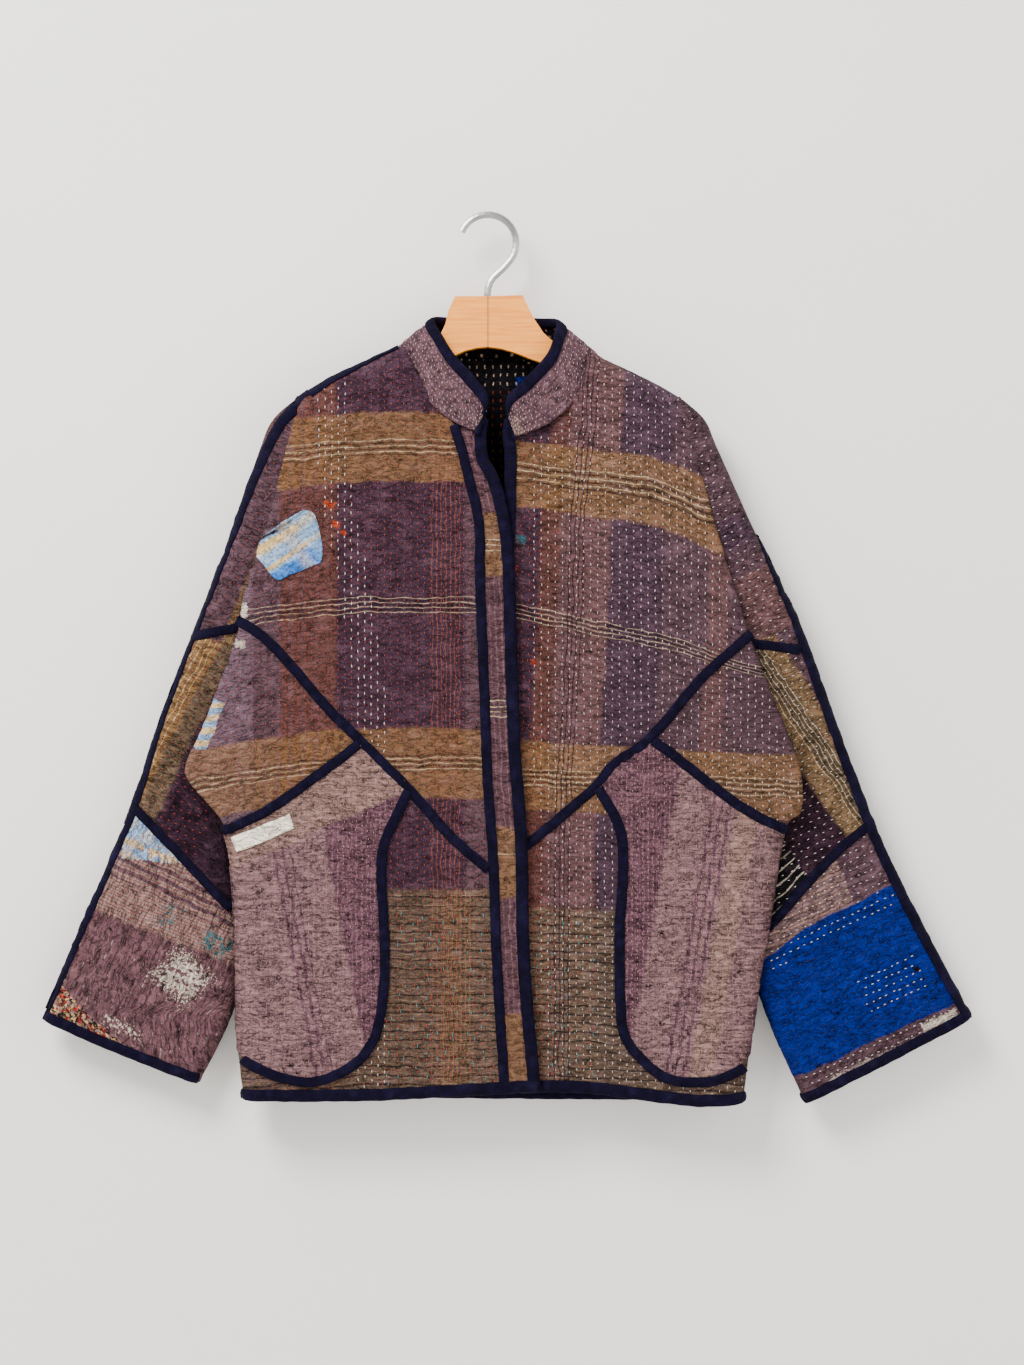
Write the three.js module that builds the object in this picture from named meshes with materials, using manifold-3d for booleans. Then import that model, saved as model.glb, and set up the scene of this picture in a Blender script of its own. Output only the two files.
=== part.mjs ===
// A patched, quilted cotton jacket with a stand collar and wide one-piece sleeves, on a wooden hanger.
// Units are millimetres. +Z is up, the front faces -Y, and the wearer's right side is at -X.
// The origin is the inside crown of the hanger's hook, where a nail or a rail holds it up.
//
// Each stretch of cloth is a thin wall on a sheet: a grid of points filled in between four edge lines
// drawn as seen from the front, each point with a depth of its own. Panels are cut out of those walls
// along the seams, and whatever lies on a panel is a wall on the same points, moved out.

import * as THREE from "three";
import { mergeVertices } from "three/addons/utils/BufferGeometryUtils.js";
import Module from "manifold-3d";

const wasm = await Module();
wasm.setup();

// ---------------------------------------------------------------- driving dimensions
const GAP = 0.3; // between pieces that meet
const CLOTH = 2.5; // quilted wall: cotton layers and the running stitches
const PATCH = 1.2; // a single applied layer
const LABEL = 0.6;
const TAPE = 1.6; // folded binding
const TAPE_WIDTH = 11;
const EDGE_TURN = 3; // how far the cloth reaches past the middle of a tape that wraps its edge
const ARMHOLE_GAP = 3; // at the back, where sleeve and body turn away from each other

const FRONT_DEPTH = 27; // inside of the front, ahead of the hook's plane
const CHEST = 4; // extra fullness of the chest
const BACK_DEPTH = 16; // inside of the back, behind the hook's plane
const LAP = 7.5; // how far the wearer's left front dips behind the right one
const ROLL = 18; // radius over which the cloth turns at a shoulder or a side
const FLAP_ROLL = 7; // the tighter turn where the front folds over the sleeve
const FLAP_TURN = 4; // how far the edge of that fold turns back
const SIDE_PLANE = -8; // depth of the side seams
const SLEEVE_PLANE = 6; // depth of the overarm and underarm seams, below the shoulder
const SLEEVE_FRONT = -6; // inside of the sleeve's front at the cuff
const SLEEVE_ROLL = 13;
const BACK_MIDDLE = 6; // where the two halves of the back meet

const TOP_Z = -190; // from here down the sleeve falls back from the chest
const RING_Z = -391; // the seam round each sleeve
const CROTCH_Z = -578; // where the side and underarm seams meet

const WIRE = 3.3; // radius of the hook's wire
const HOOK_RADIUS = 27; // to the middle of the wire
const WOOD_DEPTH = 14; // thickness of the hanger, front to back
const JOINT_X = -0.8; // where the hanger's two halves are glued together

const CUT_REACH = 120; // how far the cutting prisms go, ahead and behind
const FACET_SLACK = 0.12; // facets flatter than this are joined

// ---------------------------------------------------------------- outlines, as [x, z] seen from the front
const right = {
  name: "right",
  near: 62,
  out: -1,
  shoulder: [[-84, -125], [-108, -135], [-139, -149], [-164, -163], [-182, -174]],
  flap: [[-182, -174], [-192, -220], [-204, -280], [-228, -357], [-236, -399], [-266, -480], [-284, -523],
    [-271, -545], [-247, -578], [-239, -648], [-236, -776], [-229, -848]],
  armhole: [[-180, -172], [-190, -210], [-204, -260], [-222, -360], [-238, -458], [-245, -520],
    [-246, -580]],
  outer: [[-182, -174], [-203, -193], [-215, -220], [-244, -306], [-276, -391], [-309, -477], [-349, -591],
    [-387, -676], [-420, -762], [-428, -778]],
  inner: [[-150, -156], [-180, -210], [-194, -260], [-210, -360], [-226, -458], [-236, -530], [-252, -592],
    [-250, -640], [-248, -714], [-251, -750], [-279, -822], [-290, -842]],
  cuffHem: [[-424, -759], [-351, -791], [-279, -819]],
  diagonal: [[-236, -381], [-201, -408], [-154, -462], [-119, -497], [-75, -541], [-36, -585], [4, -620]],
  ring: [[-300, -400], [-275, -394], [-237, -389], [-205, -380]],
  cuffSeam: [[-352, -543], [-337, -558], [-292, -605], [-245, -655]],
  pocketTop: [[-119, -497], [-166, -532], [-213, -564], [-252, -581]],
  pocketCurve: [[-75, -543], [-97, -590], [-101, -623], [-98, -670], [-98, -723], [-104, -766],
    [-126, -800],
    [-172, -817], [-207, -808], [-244, -786]],
  edge: [[-4, -200], [-3, -223], [10, -253], [21, -312], [24, -388], [28, -500], [34, -588], [37, -705],
    [47, -830]],
  hem: [[-250, -832], [-124, -833], [-25, -828], [51, -821]],
  neck: [[-4, -212], [-32, -199], [-51, -182], [-64, -162], [-75, -141], [-83, -125]],
  tape: [[-172, -171], [-198, -203], [-216, -241], [-237, -294], [-275, -388], [-310, -479], [-333, -553],
    [-352, -600], [-385, -676], [-418, -752]],
};
const left = {
  name: "left",
  near: -40,
  out: 1,
  shoulder: [[100, -132], [118, -140], [137, -149], [164, -163], [182, -174]],
  flap: [[182, -174], [194, -220], [210, -286], [234, -364], [246, -402], [271, -468], [291, -520],
    [293, -560], [278, -580], [262, -678], [247, -772], [238, -850]],
  armhole: [[180, -172], [192, -210], [208, -260], [232, -360], [256, -458], [270, -520], [277, -556],
    [278, -582]],
  outer: [[182, -174], [203, -193], [215, -220], [254, -306], [295, -391], [327, -477], [371, -591],
    [412, -676], [457, -762], [466, -780]],
  inner: [[150, -156], [180, -210], [196, -260], [220, -360], [244, -458], [260, -530], [288, -592],
    [276, -650], [264, -714], [268, -756], [302, -838], [310, -858]],
  cuffHem: [[458, -758], [380, -799], [303, -838]],
  diagonal: [[247, -395], [199, -438], [152, -493], [119, -517], [102, -538], [69, -567], [5, -620]],
  ring: [[330, -415], [298, -411], [250, -404], [215, -395]],
  cuffSeam: [[385, -552], [362, -574], [322, -609], [262, -677]],
  pocketTop: [[152, -493], [187, -520], [239, -559], [288, -583]],
  pocketCurve: [[104, -540], [124, -580], [126, -623], [123, -682], [125, -758], [142, -793], [181, -816],
    [217, -814], [256, -792]],
  edge: [[16, -200], [17, -236], [14, -350], [17, -470], [21, -588], [25, -705], [31, -834]],
  hem: [[20, -822], [93, -824], [152, -833], [199, -838], [262, -835]],
  neck: [[15, -210], [39, -205], [59, -197], [81, -177], [93, -158], [100, -132]],
  tape: [[251, -296], [271, -342], [291, -391], [322, -477], [365, -589], [407, -676], [452, -757]],
};
const placketSeam = [[-31, -195], [-19, -247], [-9, -294], [-8, -352], [-5, -423], [-1, -529],
  [4, -605], [8, -705],
  [15, -830]];
const backNeck = [[-84, -124], [-60, -135], [0, -142], [64, -138], [101, -131]];
const backHem = [[-250, -833], [0, -836], [262, -837]];
const chestPatch = [[-216, -324], [-200, -344], [-186, -340], [-157, -328], [-156, -313], [-163, -284],
  [-174, -279],
  [-195, -292], [-209, -303]];
const label = [[-236, -584], [-191, -561], [-184, -577], [-231, -600]];

/** Collar as [x, y, z]: its seam and its top edge, from the right front round the back to the left front. */
const collarSeam = [[-14, -31, -205], [-32, -30, -198], [-51, -28, -182], [-66, -22, -160],
  [-77, -13, -140],
  [-85, 1, -124], [-62, 13, -133], [0, 18, -141], [64, 13, -137], [101, 1, -130], [93, -12, -156],
  [82, -20, -175],
  [60, -25, -195], [38, -27, -206], [22, -27, -210]];
const collarTop = [[-3, -31, -190], [-1, -29, -174], [-16, -26, -153], [-33, -21, -134], [-44, -13, -116],
  [-52, 1, -98], [-30, 14, -95], [2, 18, -94], [37, 16, -95], [63, 3, -99], [63, -13, -112],
  [56, -20, -133],
  [34, -24, -158], [18, -26, -174], [17, -27, -192]];

const woodRight = [[JOINT_X - GAP / 2, -75], [-32, -75], [-38, -88], [-41, -101], [-46, -112], [-64, -126],
  [-86, -138], [-110, -149], [-141, -163], [-160, -174], [-166, -183], [-162, -192], [-150, -191],
  [-112, -171], [-80, -154],
  [-50, -141], [-38, -133.7], [-30, -130], [-22, -126.4], [-12, -124], [JOINT_X - GAP / 2, -123]];
const woodLeft = [[JOINT_X + GAP / 2, -75], [32, -74], [42, -95], [52, -110], [76, -131], [104, -147],
  [139, -163],
  [160, -174], [166, -183], [162, -192], [150, -191], [112, -171], [80, -154], [50, -138], [38, -133.7],
  [26, -128.8], [12, -124.6],
  [JOINT_X + GAP / 2, -123]];

// ---------------------------------------------------------------- small helpers
const mix = THREE.MathUtils.lerp;
const mix2 = (from, to, share) => from.clone().lerp(to, share);
const smooth = (from, to, at) => THREE.MathUtils.smoothstep((at - from) / (to - from), 0, 1);
const vectors = (points) => points.map(([x, z]) => new THREE.Vector2(x, z));
const curve = (points) =>
  points.length > 2 ? new THREE.SplineCurve(vectors(points)) : new THREE.LineCurve(...vectors(points));
const fine = (points, steps = 2) =>
  curve(points).getSpacedPoints(steps * (points.length - 1)).map((p) => [p.x, p.y]);

/** A line carried on straight past both ends. */
function extended(points, by) {
  const past = ([ax, az], [bx, bz]) => {
    const run = Math.hypot(bx - ax, bz - az);
    return [bx + (by * (bx - ax)) / run, bz + (by * (bz - az)) / run];
  };
  return [past(points[1], points[0]), ...points, past(points.at(-2), points.at(-1))];
}

/** A line moved sideways, to the left of its direction where the distance is positive. */
function beside(points, by) {
  return points.map(([x, z], i) => {
    const [ax, az] = points[Math.max(i - 1, 0)];
    const [bx, bz] = points[Math.min(i + 1, points.length - 1)];
    const run = Math.hypot(bx - ax, bz - az);
    return [x - (by * (bz - az)) / run, z + (by * (bx - ax)) / run];
  });
}

function solid(geometry) {
  for (const name of ["normal", "uv"]) geometry.deleteAttribute(name);
  const merged = mergeVertices(geometry, 1e-4);
  return new wasm.Manifold(
    new wasm.Mesh({
      numProp: 3,
      vertProperties: new Float32Array(merged.attributes.position.array),
      triVerts: new Uint32Array(merged.index.array),
    }),
  );
}

/** A prism from front to back over an outline. */
function prism(outline, ahead = -CUT_REACH, behind = CUT_REACH) {
  const shape = new THREE.Shape(vectors(outline));
  const geometry = new THREE.ExtrudeGeometry(shape, { depth: behind - ahead, bevelEnabled: false });
  return solid(geometry.rotateX(Math.PI / 2).translate(0, behind, 0));
}

/** The prism over a strip of a given width along a line. */
function strip(points, width) {
  const middle = fine(points);
  return prism([...beside(middle, width / 2), ...beside(middle, -width / 2).reverse()]);
}

/** The prism over everything on one side of a line, starting a given distance into that side. */
function half(points, toward, from = 0, ahead = -CUT_REACH, behind = CUT_REACH) {
  const middle = extended(fine(points), 90);
  const [ax, az] = points[0];
  const [bx, bz] = points.at(-1);
  const sign = Math.sign((bx - ax) * toward[1] - (bz - az) * toward[0]);
  const edge = beside(middle, sign * from);
  const wing = ([x, z], along, away) => [
    x + along * -sign * toward[1] + away * toward[0],
    z + along * sign * toward[0] + away * toward[1],
  ];
  const [start, end] = [edge[0], edge.at(-1)];
  const corners = [wing(end, -900, 0), wing(end, -900, 1500), wing(start, 900, 1500), wing(start, 900, 0)];
  return prism([...edge, ...corners], ahead, behind);
}

const UP = [0, 1];
const DOWN = [0, -1];
const largest = (made) => made.decompose().sort((a, b) => b.volume() - a.volume())[0];

// ---------------------------------------------------------------- sheets and walls
/** A grid between four edge lines. depth() gets each point's height and its distances from those lines. */
function sheet({ top, bottom, near, far, across, down, depth, closed, outward }) {
  const [t, b, n, f] = [top, bottom, near, far].map(curve);
  const place = (u, v) => {
    const upright = mix2(t.getPointAt(u), b.getPointAt(u), v);
    const level = mix2(n.getPointAt(v), f.getPointAt(v), u);
    const [above, below] = [t, b].map((line) => mix2(line.getPointAt(0), line.getPointAt(1), u));
    return upright.add(level).sub(mix2(above, below, v));
  };
  const points = down.map((v) =>
    across.map((u) => {
      const at = place(u, v);
      const gaps = {
        top: at.distanceTo(place(u, 0)),
        near: at.distanceTo(place(0, v)),
        far: at.distanceTo(place(1, v)),
      };
      return new THREE.Vector3(at.x, depth(at.x, at.y, gaps), at.y);
    }),
  );
  const inside = (i, count) => THREE.MathUtils.clamp(i, 0, count - 1);
  const at = (i, j) => points[inside(i, down.length)][inside(j, across.length)];
  const normals = points.map((row, i) =>
    row.map((p, j) => {
      const along = at(i, j + 1).clone().sub(at(i, j - 1));
      const normal = at(i + 1, j).clone().sub(at(i - 1, j)).cross(along).normalize();
      if (normal.y * outward < 0) normal.negate();
      if (closed(across[j], down[i], p.z)) normal.setY(0).normalize();
      return normal;
    }),
  );
  return { points, normals };
}

/** The closed wall between two distances from a sheet, both measured outwards. */
function wall({ points, normals }, outer, inner = 0) {
  const [rows, columns] = [points.length, points[0].length];
  const layer = (by) =>
    points.flatMap((row, i) => row.map((p, j) => p.clone().addScaledVector(normals[i][j], by)));
  const vertices = new Float32Array([...layer(outer), ...layer(inner)].flatMap((p) => p.toArray()));
  const under = rows * columns;
  const faces = [];
  const quad = (a, b, c, d) => faces.push([a, b, c], [a, c, d]);
  for (let i = 0; i + 1 < rows; i++)
    for (let j = 0; j + 1 < columns; j++) {
      const k = i * columns + j;
      quad(k, k + columns, k + columns + 1, k + 1);
      quad(k + under, k + under + 1, k + under + columns + 1, k + under + columns);
    }
  const rim = [];
  for (let j = 0; j + 1 < columns; j++) rim.push(j);
  for (let i = 0; i + 1 < rows; i++) rim.push(i * columns + columns - 1);
  for (let j = columns - 1; j > 0; j--) rim.push((rows - 1) * columns + j);
  for (let i = rows - 1; i > 0; i--) rim.push(i * columns);
  rim.forEach((a, k) => {
    const b = rim[(k + 1) % rim.length];
    quad(a, b, b + under, a + under);
  });
  const build = (list) => {
    const triVerts = new Uint32Array(list.flat());
    return new wasm.Manifold(new wasm.Mesh({ numProp: 3, vertProperties: vertices, triVerts }));
  };
  const made = build(faces);
  return made.volume() > 0 ? made : build(faces.map(([a, b, c]) => [a, c, b]));
}

/** How far the cloth has turned onto its face: 0 at a closed edge, 1 a roll's width away from it. */
const turned = (gap, roll) => Math.sqrt(Math.max(0, 1 - Math.max(0, 1 - gap / roll) ** 2));

// ---------------------------------------------------------------- the four kinds of sheet
const acrossBody = [0, 0.3, 0.58, 0.78, 0.92, 0.965, 0.991, 1];
const downBody = [0, 0.004, 0.014, 0.028, 0.12, 0.28, 0.43, 0.5, 0.55, 0.59, 0.65, 0.82, 1];
const acrossSleeve = [0, 0.025, 0.08, 0.5, 0.92, 0.975, 1];
const downSleeve = [0, 0.01, 0.04, 0.15, 0.3, 0.45, 0.55, 0.62, 0.74, 0.87, 1];

const belowCrotch = (z) => smooth(CROTCH_Z + 18, CROTCH_Z - 18, z);
const sleevePlane = (z) => SLEEVE_PLANE * smooth(TOP_Z, RING_Z, z);

function frontSheet(s, lap) {
  const top = s.shoulder[0][1] + 50;
  return sheet({
    top: [[s.near, top], ...s.shoulder],
    bottom: [[s.near, -834], s.flap.at(-1)],
    near: [[s.near, top], [s.near, -834]],
    far: s.flap,
    across: acrossBody,
    down: downBody,
    closed: (u, v) => u === 1 || v === 0,
    outward: -1,
    depth(x, z, gaps) {
      const chest = CHEST * smooth(-180, -300, z) * smooth(-760, -420, z);
      const face = lap * smooth(125, 68, x) - FRONT_DEPTH - chest;
      const folded = mix(face + FLAP_TURN, face, turned(gaps.far, FLAP_ROLL));
      const seamed = mix(SIDE_PLANE - GAP / 2, face, turned(gaps.far, ROLL));
      return mix(-GAP / 2, mix(folded, seamed, belowCrotch(z)), turned(gaps.top, ROLL));
    },
  });
}

function backSheet(s) {
  const middle = BACK_MIDDLE - 4 * s.out;
  const top = s.shoulder[0][1] + 32;
  return sheet({
    top: [[middle, top], ...s.shoulder],
    bottom: [[middle, -846], s.flap.at(-1)],
    near: [[middle, top], [middle, -846]],
    far: [s.shoulder.at(-1), ...s.armhole.slice(1), ...s.flap.slice(9)],
    across: acrossBody,
    down: downBody,
    closed: (u, v, z) => v === 0 || (u === 1 && z < CROTCH_Z - 5),
    outward: 1,
    depth(x, z, gaps) {
      const seamed = mix(SIDE_PLANE + GAP / 2, BACK_DEPTH, turned(gaps.far, ROLL));
      return mix(GAP / 2, mix(BACK_DEPTH, seamed, belowCrotch(z)), turned(gaps.top, ROLL));
    },
  });
}

/** Either half of a sleeve, from shoulder to cuff; outward is -1 for the front and 1 for the back. */
function sleeveSheet(s, outward) {
  return sheet({
    top: [s.inner[0], s.outer[0]],
    bottom: [s.inner.at(-1), s.outer.at(-1)],
    near: s.inner,
    far: s.outer,
    across: acrossSleeve,
    down: downSleeve,
    closed: (u, v, z) => u === 1 || v === 0 || (u === 0 && z < CROTCH_Z - 5),
    outward,
    depth(x, z, gaps) {
      const front = mix(-FRONT_DEPTH, SLEEVE_FRONT, smooth(TOP_Z, CROTCH_Z, z));
      const face = outward < 0 ? front : BACK_DEPTH;
      const underarm = mix(1, turned(gaps.near, SLEEVE_ROLL), belowCrotch(z));
      const edges = turned(gaps.far, SLEEVE_ROLL) * underarm * turned(gaps.top, ROLL);
      return mix(sleevePlane(z) + (outward * GAP) / 2, face, edges);
    },
  });
}

// ---------------------------------------------------------------- tapes and patches
const ON_CLOTH = CLOTH + GAP;
const ON_PATCH = ON_CLOTH + PATCH + GAP;

/** Everything that lies flat on a panel. */
const laid = (base, outline, thick, from = ON_CLOTH) => wall(base, from + thick, from).intersect(outline);

/** A tape folded round a raw edge: the line is its middle and the cloth lies on the given side. */
function edgeTape(base, line, cloth) {
  const slot = wall(base, ON_CLOTH, -GAP).intersect(half(line, cloth, -EDGE_TURN - GAP));
  return wall(base, ON_CLOTH + TAPE, -GAP - TAPE).intersect(strip(line, TAPE_WIDTH)).subtract(slot);
}

// ---------------------------------------------------------------- the jacket, side by side
const pieces = [];
const put = (name, made, look) => pieces.push({ name, made: largest(made.simplify(FACET_SLACK)), look });

const looks = {
  plaid: { color: 0x8d7474, roughness: 0.95 },
  placket: { color: 0x93786a, roughness: 0.95 },
  collar: { color: 0x958a90, roughness: 0.95 },
  rose: { color: 0xa58c8c, roughness: 0.95 },
  blue: { color: 0x54668c, roughness: 0.95 },
  navy: { color: 0x232a45, roughness: 0.9 },
  cream: { color: 0xd8cfb8, roughness: 0.9 },
  wood: { color: 0xc9a577, roughness: 0.55 },
  steel: { color: 0x9a9c9e, roughness: 0.35, metalness: 1 },
};

const halfTape = TAPE_WIDTH / 2 + GAP;
const frontIn = { right: [-1, 0], left: [1, 0] };
const neckDown = { right: [-0.7, -0.7], left: [0.7, -0.7] };

function pocketOutline(s, grow) {
  const upper = beside(fine(s.pocketTop), s.out * grow);
  const lower = beside(fine(s.pocketCurve), -s.out * grow);
  return prism([...upper, [s.out * 330, -583], [s.out * 330, -780], ...lower.reverse()]);
}

const frontSheets = { right: frontSheet(right, 0), left: frontSheet(left, LAP) };
const sleeveBacks = {};

for (const s of [right, left]) {
  const { name } = s;
  const base = frontSheets[name];
  const cloth = wall(base, CLOTH);
  const sleeve = { front: sleeveSheet(s, -1), back: sleeveSheet(s, 1) };
  const sleeveCloth = { front: wall(sleeve.front, CLOTH), back: wall(sleeve.back, CLOTH) };
  const inside =
    name === "right" ? half(placketSeam, frontIn.right, GAP / 2) : half(s.edge, frontIn.left, -EDGE_TURN);
  const belowNeck = half(s.neck, neckDown[name], GAP / 2);
  const aboveHem = half(s.hem, UP, -EDGE_TURN);

  // the upper front, cut in one with the upper sleeve
  const body = cloth.intersect(inside).intersect(belowNeck).intersect(half(s.diagonal, UP, GAP / 2));
  const strap = sleeveCloth.front.intersect(half(s.ring, UP, GAP / 2));
  put(`${name}_upper_front`, body.add(strap), "plaid");
  const skirt = cloth.intersect(inside).intersect(half(s.diagonal, DOWN, GAP / 2)).intersect(aboveHem);
  put(`${name}_lower_front`, skirt, "plaid");

  // tapes on the front
  const besidePlacket =
    name === "right" ? half(placketSeam, frontIn.right, halfTape) : half(s.edge, frontIn.left, halfTape);
  const diagonalStrip = strip(s.diagonal, TAPE_WIDTH).intersect(besidePlacket);
  put(`${name}_diagonal_tape`, laid(base, diagonalStrip, TAPE), "navy");
  put(`${name}_hem_tape`, edgeTape(base, s.hem, UP).subtract(strip(s.edge, TAPE_WIDTH + 2 * GAP)), "navy");
  put(`${name}_edge_tape`, edgeTape(base, s.edge, frontIn[name]).intersect(belowNeck), "navy");

  // the pocket, its two tapes and what lies on it
  const belowDiagonal = half(s.diagonal, DOWN, halfTape);
  const pocket = laid(base, pocketOutline(s, 0).intersect(belowDiagonal), PATCH);
  const room = wall(base, ON_PATCH + GAP, CLOTH).intersect(pocketOutline(s, 3 * GAP));
  put(`${name}_pocket`, pocket, "rose");
  const curveTape = wall(base, ON_PATCH + TAPE, ON_CLOTH).intersect(strip(s.pocketCurve, TAPE_WIDTH));
  const topTape = wall(base, ON_PATCH + TAPE, ON_CLOTH).intersect(strip(s.pocketTop, TAPE_WIDTH));
  put(`${name}_pocket_tape`, curveTape.intersect(belowDiagonal).subtract(room), "navy");
  put(`${name}_pocket_top_tape`, topTape.intersect(belowDiagonal).subtract(room).subtract(pocket), "navy");

  // sleeve, cuff and their tapes
  const clearOfBack = wall(backSheet(s), ON_CLOTH, -GAP);
  const armholeEdge = beside(fine(s.armhole), s.out * ARMHOLE_GAP);
  const insideArmhole = prism([...armholeEdge, [0, CROTCH_Z - 5], [0, -100]]);
  const sleeveOnly = {
    front: sleeveCloth.front.subtract(clearOfBack),
    back: sleeveCloth.back.subtract(clearOfBack).subtract(insideArmhole),
  };
  for (const [face, own] of Object.entries(sleeveOnly)) {
    const middle = own.intersect(half(s.ring, DOWN, GAP / 2)).intersect(half(s.cuffSeam, UP, GAP / 2));
    const cuff = own.intersect(half(s.cuffSeam, DOWN, GAP / 2)).intersect(half(s.cuffHem, UP, -EDGE_TURN));
    put(`${name}_sleeve_${face}`, middle, "plaid");
    put(`${name}_cuff_${face}`, cuff, name === "right" ? "rose" : "blue");
    put(`${name}_cuff_hem_${face}`, edgeTape(sleeve[face], s.cuffHem, UP), "navy");
  }
  const clearOfFront = wall(base, ON_CLOTH, -GAP);
  const overarm = laid(sleeve.front, strip(s.tape, TAPE_WIDTH), TAPE).subtract(clearOfFront);
  const clearOfTape = strip(s.tape, TAPE_WIDTH + 2 * GAP);
  const aboveCuffHem = half(s.cuffHem, UP, halfTape);
  put(`${name}_overarm_tape`, overarm.intersect(aboveCuffHem), "navy");
  const ringTape = laid(sleeve.front, strip(s.ring, TAPE_WIDTH), TAPE);
  put(`${name}_ring_tape`, ringTape.subtract(clearOfTape).subtract(clearOfFront), "navy");
  const cuffTape = laid(sleeve.front, strip(s.cuffSeam, TAPE_WIDTH), TAPE);
  put(`${name}_cuff_tape`, cuffTape.subtract(clearOfTape), "navy");
  sleeveBacks[name] = sleeveCloth.back;
}

// ---------------------------------------------------------------- the placket, the patch and the label
const rightBase = frontSheets.right;
const rightCloth = wall(rightBase, CLOTH);
const placketArea = half(placketSeam, frontIn.left, GAP / 2)
  .intersect(half(right.edge, frontIn.right, -EDGE_TURN))
  .intersect(half(right.neck, neckDown.right, GAP / 2))
  .intersect(half(right.hem, UP, -EDGE_TURN));
const betweenNeckAndHem = half(right.neck, neckDown.right, GAP).intersect(half(right.hem, UP, halfTape));
put("placket", rightCloth.intersect(placketArea), "placket");
const placketStrip = strip(placketSeam, TAPE_WIDTH).intersect(betweenNeckAndHem);
put("placket_tape", laid(rightBase, placketStrip, TAPE), "navy");
put("chest_patch", laid(rightBase, prism(chestPatch), PATCH), "blue");
const labelCloth = laid(rightBase, prism(label), LABEL, ON_PATCH);
put("label", labelCloth.subtract(strip(right.pocketTop, TAPE_WIDTH + 2 * GAP)), "cream");

// ---------------------------------------------------------------- the back
const backs = [right, left].map((s) => {
  const body = wall(backSheet(s), CLOTH);
  const upperSleeve = sleeveBacks[s.name].intersect(half(s.ring, UP, GAP / 2));
  return body.add(upperSleeve);
});
const backArea = half(backNeck, DOWN, GAP / 2).intersect(half(backHem, UP, -EDGE_TURN));
put("back", backs[0].add(backs[1]).intersect(backArea), "plaid");
for (const s of [right, left]) {
  const seam = BACK_MIDDLE + (s.out * GAP) / 2;
  const own = half([[seam, 0], [seam, -900]], [s.out, 0]);
  put(`${s.name}_back_hem_tape`, edgeTape(backSheet(s), backHem, UP).intersect(own), "navy");
}

// ---------------------------------------------------------------- the collar
const COLLAR_RAW = 0.88; // share of its height where the collar's cloth ends inside the tape

/** A band of the collar between two heights: 0 is its seam and 1 the middle of the tape on its top edge. */
function collarBand(from, to) {
  const around = 18;
  const through = (points) => new THREE.CatmullRomCurve3(points.map((p) => new THREE.Vector3(...p)));
  const lines = [collarSeam, collarTop].map(through);
  const ends = Array.from({ length: around + 1 }, (_, k) => lines.map((line) => line.getPoint(k / around)));
  const points = [from, to].map((v) => ends.map(([low, high]) => low.clone().lerp(high, v)));
  const centre = new THREE.Vector3(5, 0, -120);
  const normals = points.map((row) =>
    row.map((p, j) => {
      const along = row[Math.min(j + 1, around)].clone().sub(row[Math.max(j - 1, 0)]);
      const up = ends[j][1].clone().sub(ends[j][0]);
      const normal = along.cross(up).normalize();
      return normal.dot(p.clone().sub(centre).setZ(0)) < 0 ? normal.negate() : normal;
    }),
  );
  return { points, normals };
}

const outsideNeck = half(right.neck, neckDown.right, -GAP, -CUT_REACH, 0)
  .add(half(left.neck, neckDown.left, -GAP, -CUT_REACH, 0))
  .add(half(backNeck, DOWN, -GAP, 0, CUT_REACH));
const collarRoom = wall(collarBand(-0.1, 1.18), CLOTH + TAPE + 2 * GAP, -TAPE - 2 * GAP);
put("collar", wall(collarBand(0, COLLAR_RAW), CLOTH).subtract(outsideNeck), "collar");
const collarTape = wall(collarBand(COLLAR_RAW + 0.055, 1.13), CLOTH + TAPE, -TAPE);
put("collar_tape", collarTape.subtract(outsideNeck), "navy");

// ---------------------------------------------------------------- the hanger
function wood(outline) {
  const shape = new THREE.Shape(vectors(outline));
  const geometry = new THREE.ExtrudeGeometry(shape, {
    depth: WOOD_DEPTH,
    bevelEnabled: false,
  });
  return solid(geometry.rotateX(Math.PI / 2).translate(0, WOOD_DEPTH / 2, 0)).subtract(collarRoom);
}

const hookPath = [];
for (let angle = 157; angle >= 0; angle -= 15) {
  const turn = THREE.MathUtils.degToRad(angle);
  const [across, up] = [HOOK_RADIUS * Math.cos(turn), HOOK_RADIUS * Math.sin(turn)];
  hookPath.push(new THREE.Vector3(across - 1, 0, up - 23.8));
}
for (const [x, z] of [[24, -34], [14, -47.5], [3, -58], [-1, -68], [-1, -86], [-1, -100]])
  hookPath.push(new THREE.Vector3(x, 0, z));
const wireSection = new THREE.Shape().absarc(0, 0, WIRE, 0, 2 * Math.PI);
const hookWire = new THREE.ExtrudeGeometry(wireSection, {
  steps: 28,
  curveSegments: 4,
  bevelEnabled: false,
  extrudePath: new THREE.CatmullRomCurve3(hookPath),
});
const bore = new THREE.CylinderGeometry(WIRE + 2 * GAP, WIRE + 2 * GAP, 34, 16);
bore.rotateX(Math.PI / 2).translate(-1, 0, -85 - GAP);
put("hook", solid(hookWire), "steel");
put("hanger_right", wood(woodRight).subtract(solid(bore.clone())), "wood");
put("hanger_left", wood(woodLeft).subtract(solid(bore)), "wood");

// ---------------------------------------------------------------- the scene graph
const jacket = new THREE.Group();
for (const { name, made, look } of pieces) {
  const { vertProperties, triVerts } = made.getMesh();
  const geometry = new THREE.BufferGeometry();
  geometry.setAttribute("position", new THREE.BufferAttribute(vertProperties, 3));
  geometry.setIndex(new THREE.BufferAttribute(triVerts, 1));
  geometry.computeVertexNormals();
  const mesh = new THREE.Mesh(geometry, new THREE.MeshStandardMaterial(looks[look]));
  mesh.name = name;
  jacket.add(mesh);
}

export default jacket;
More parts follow.
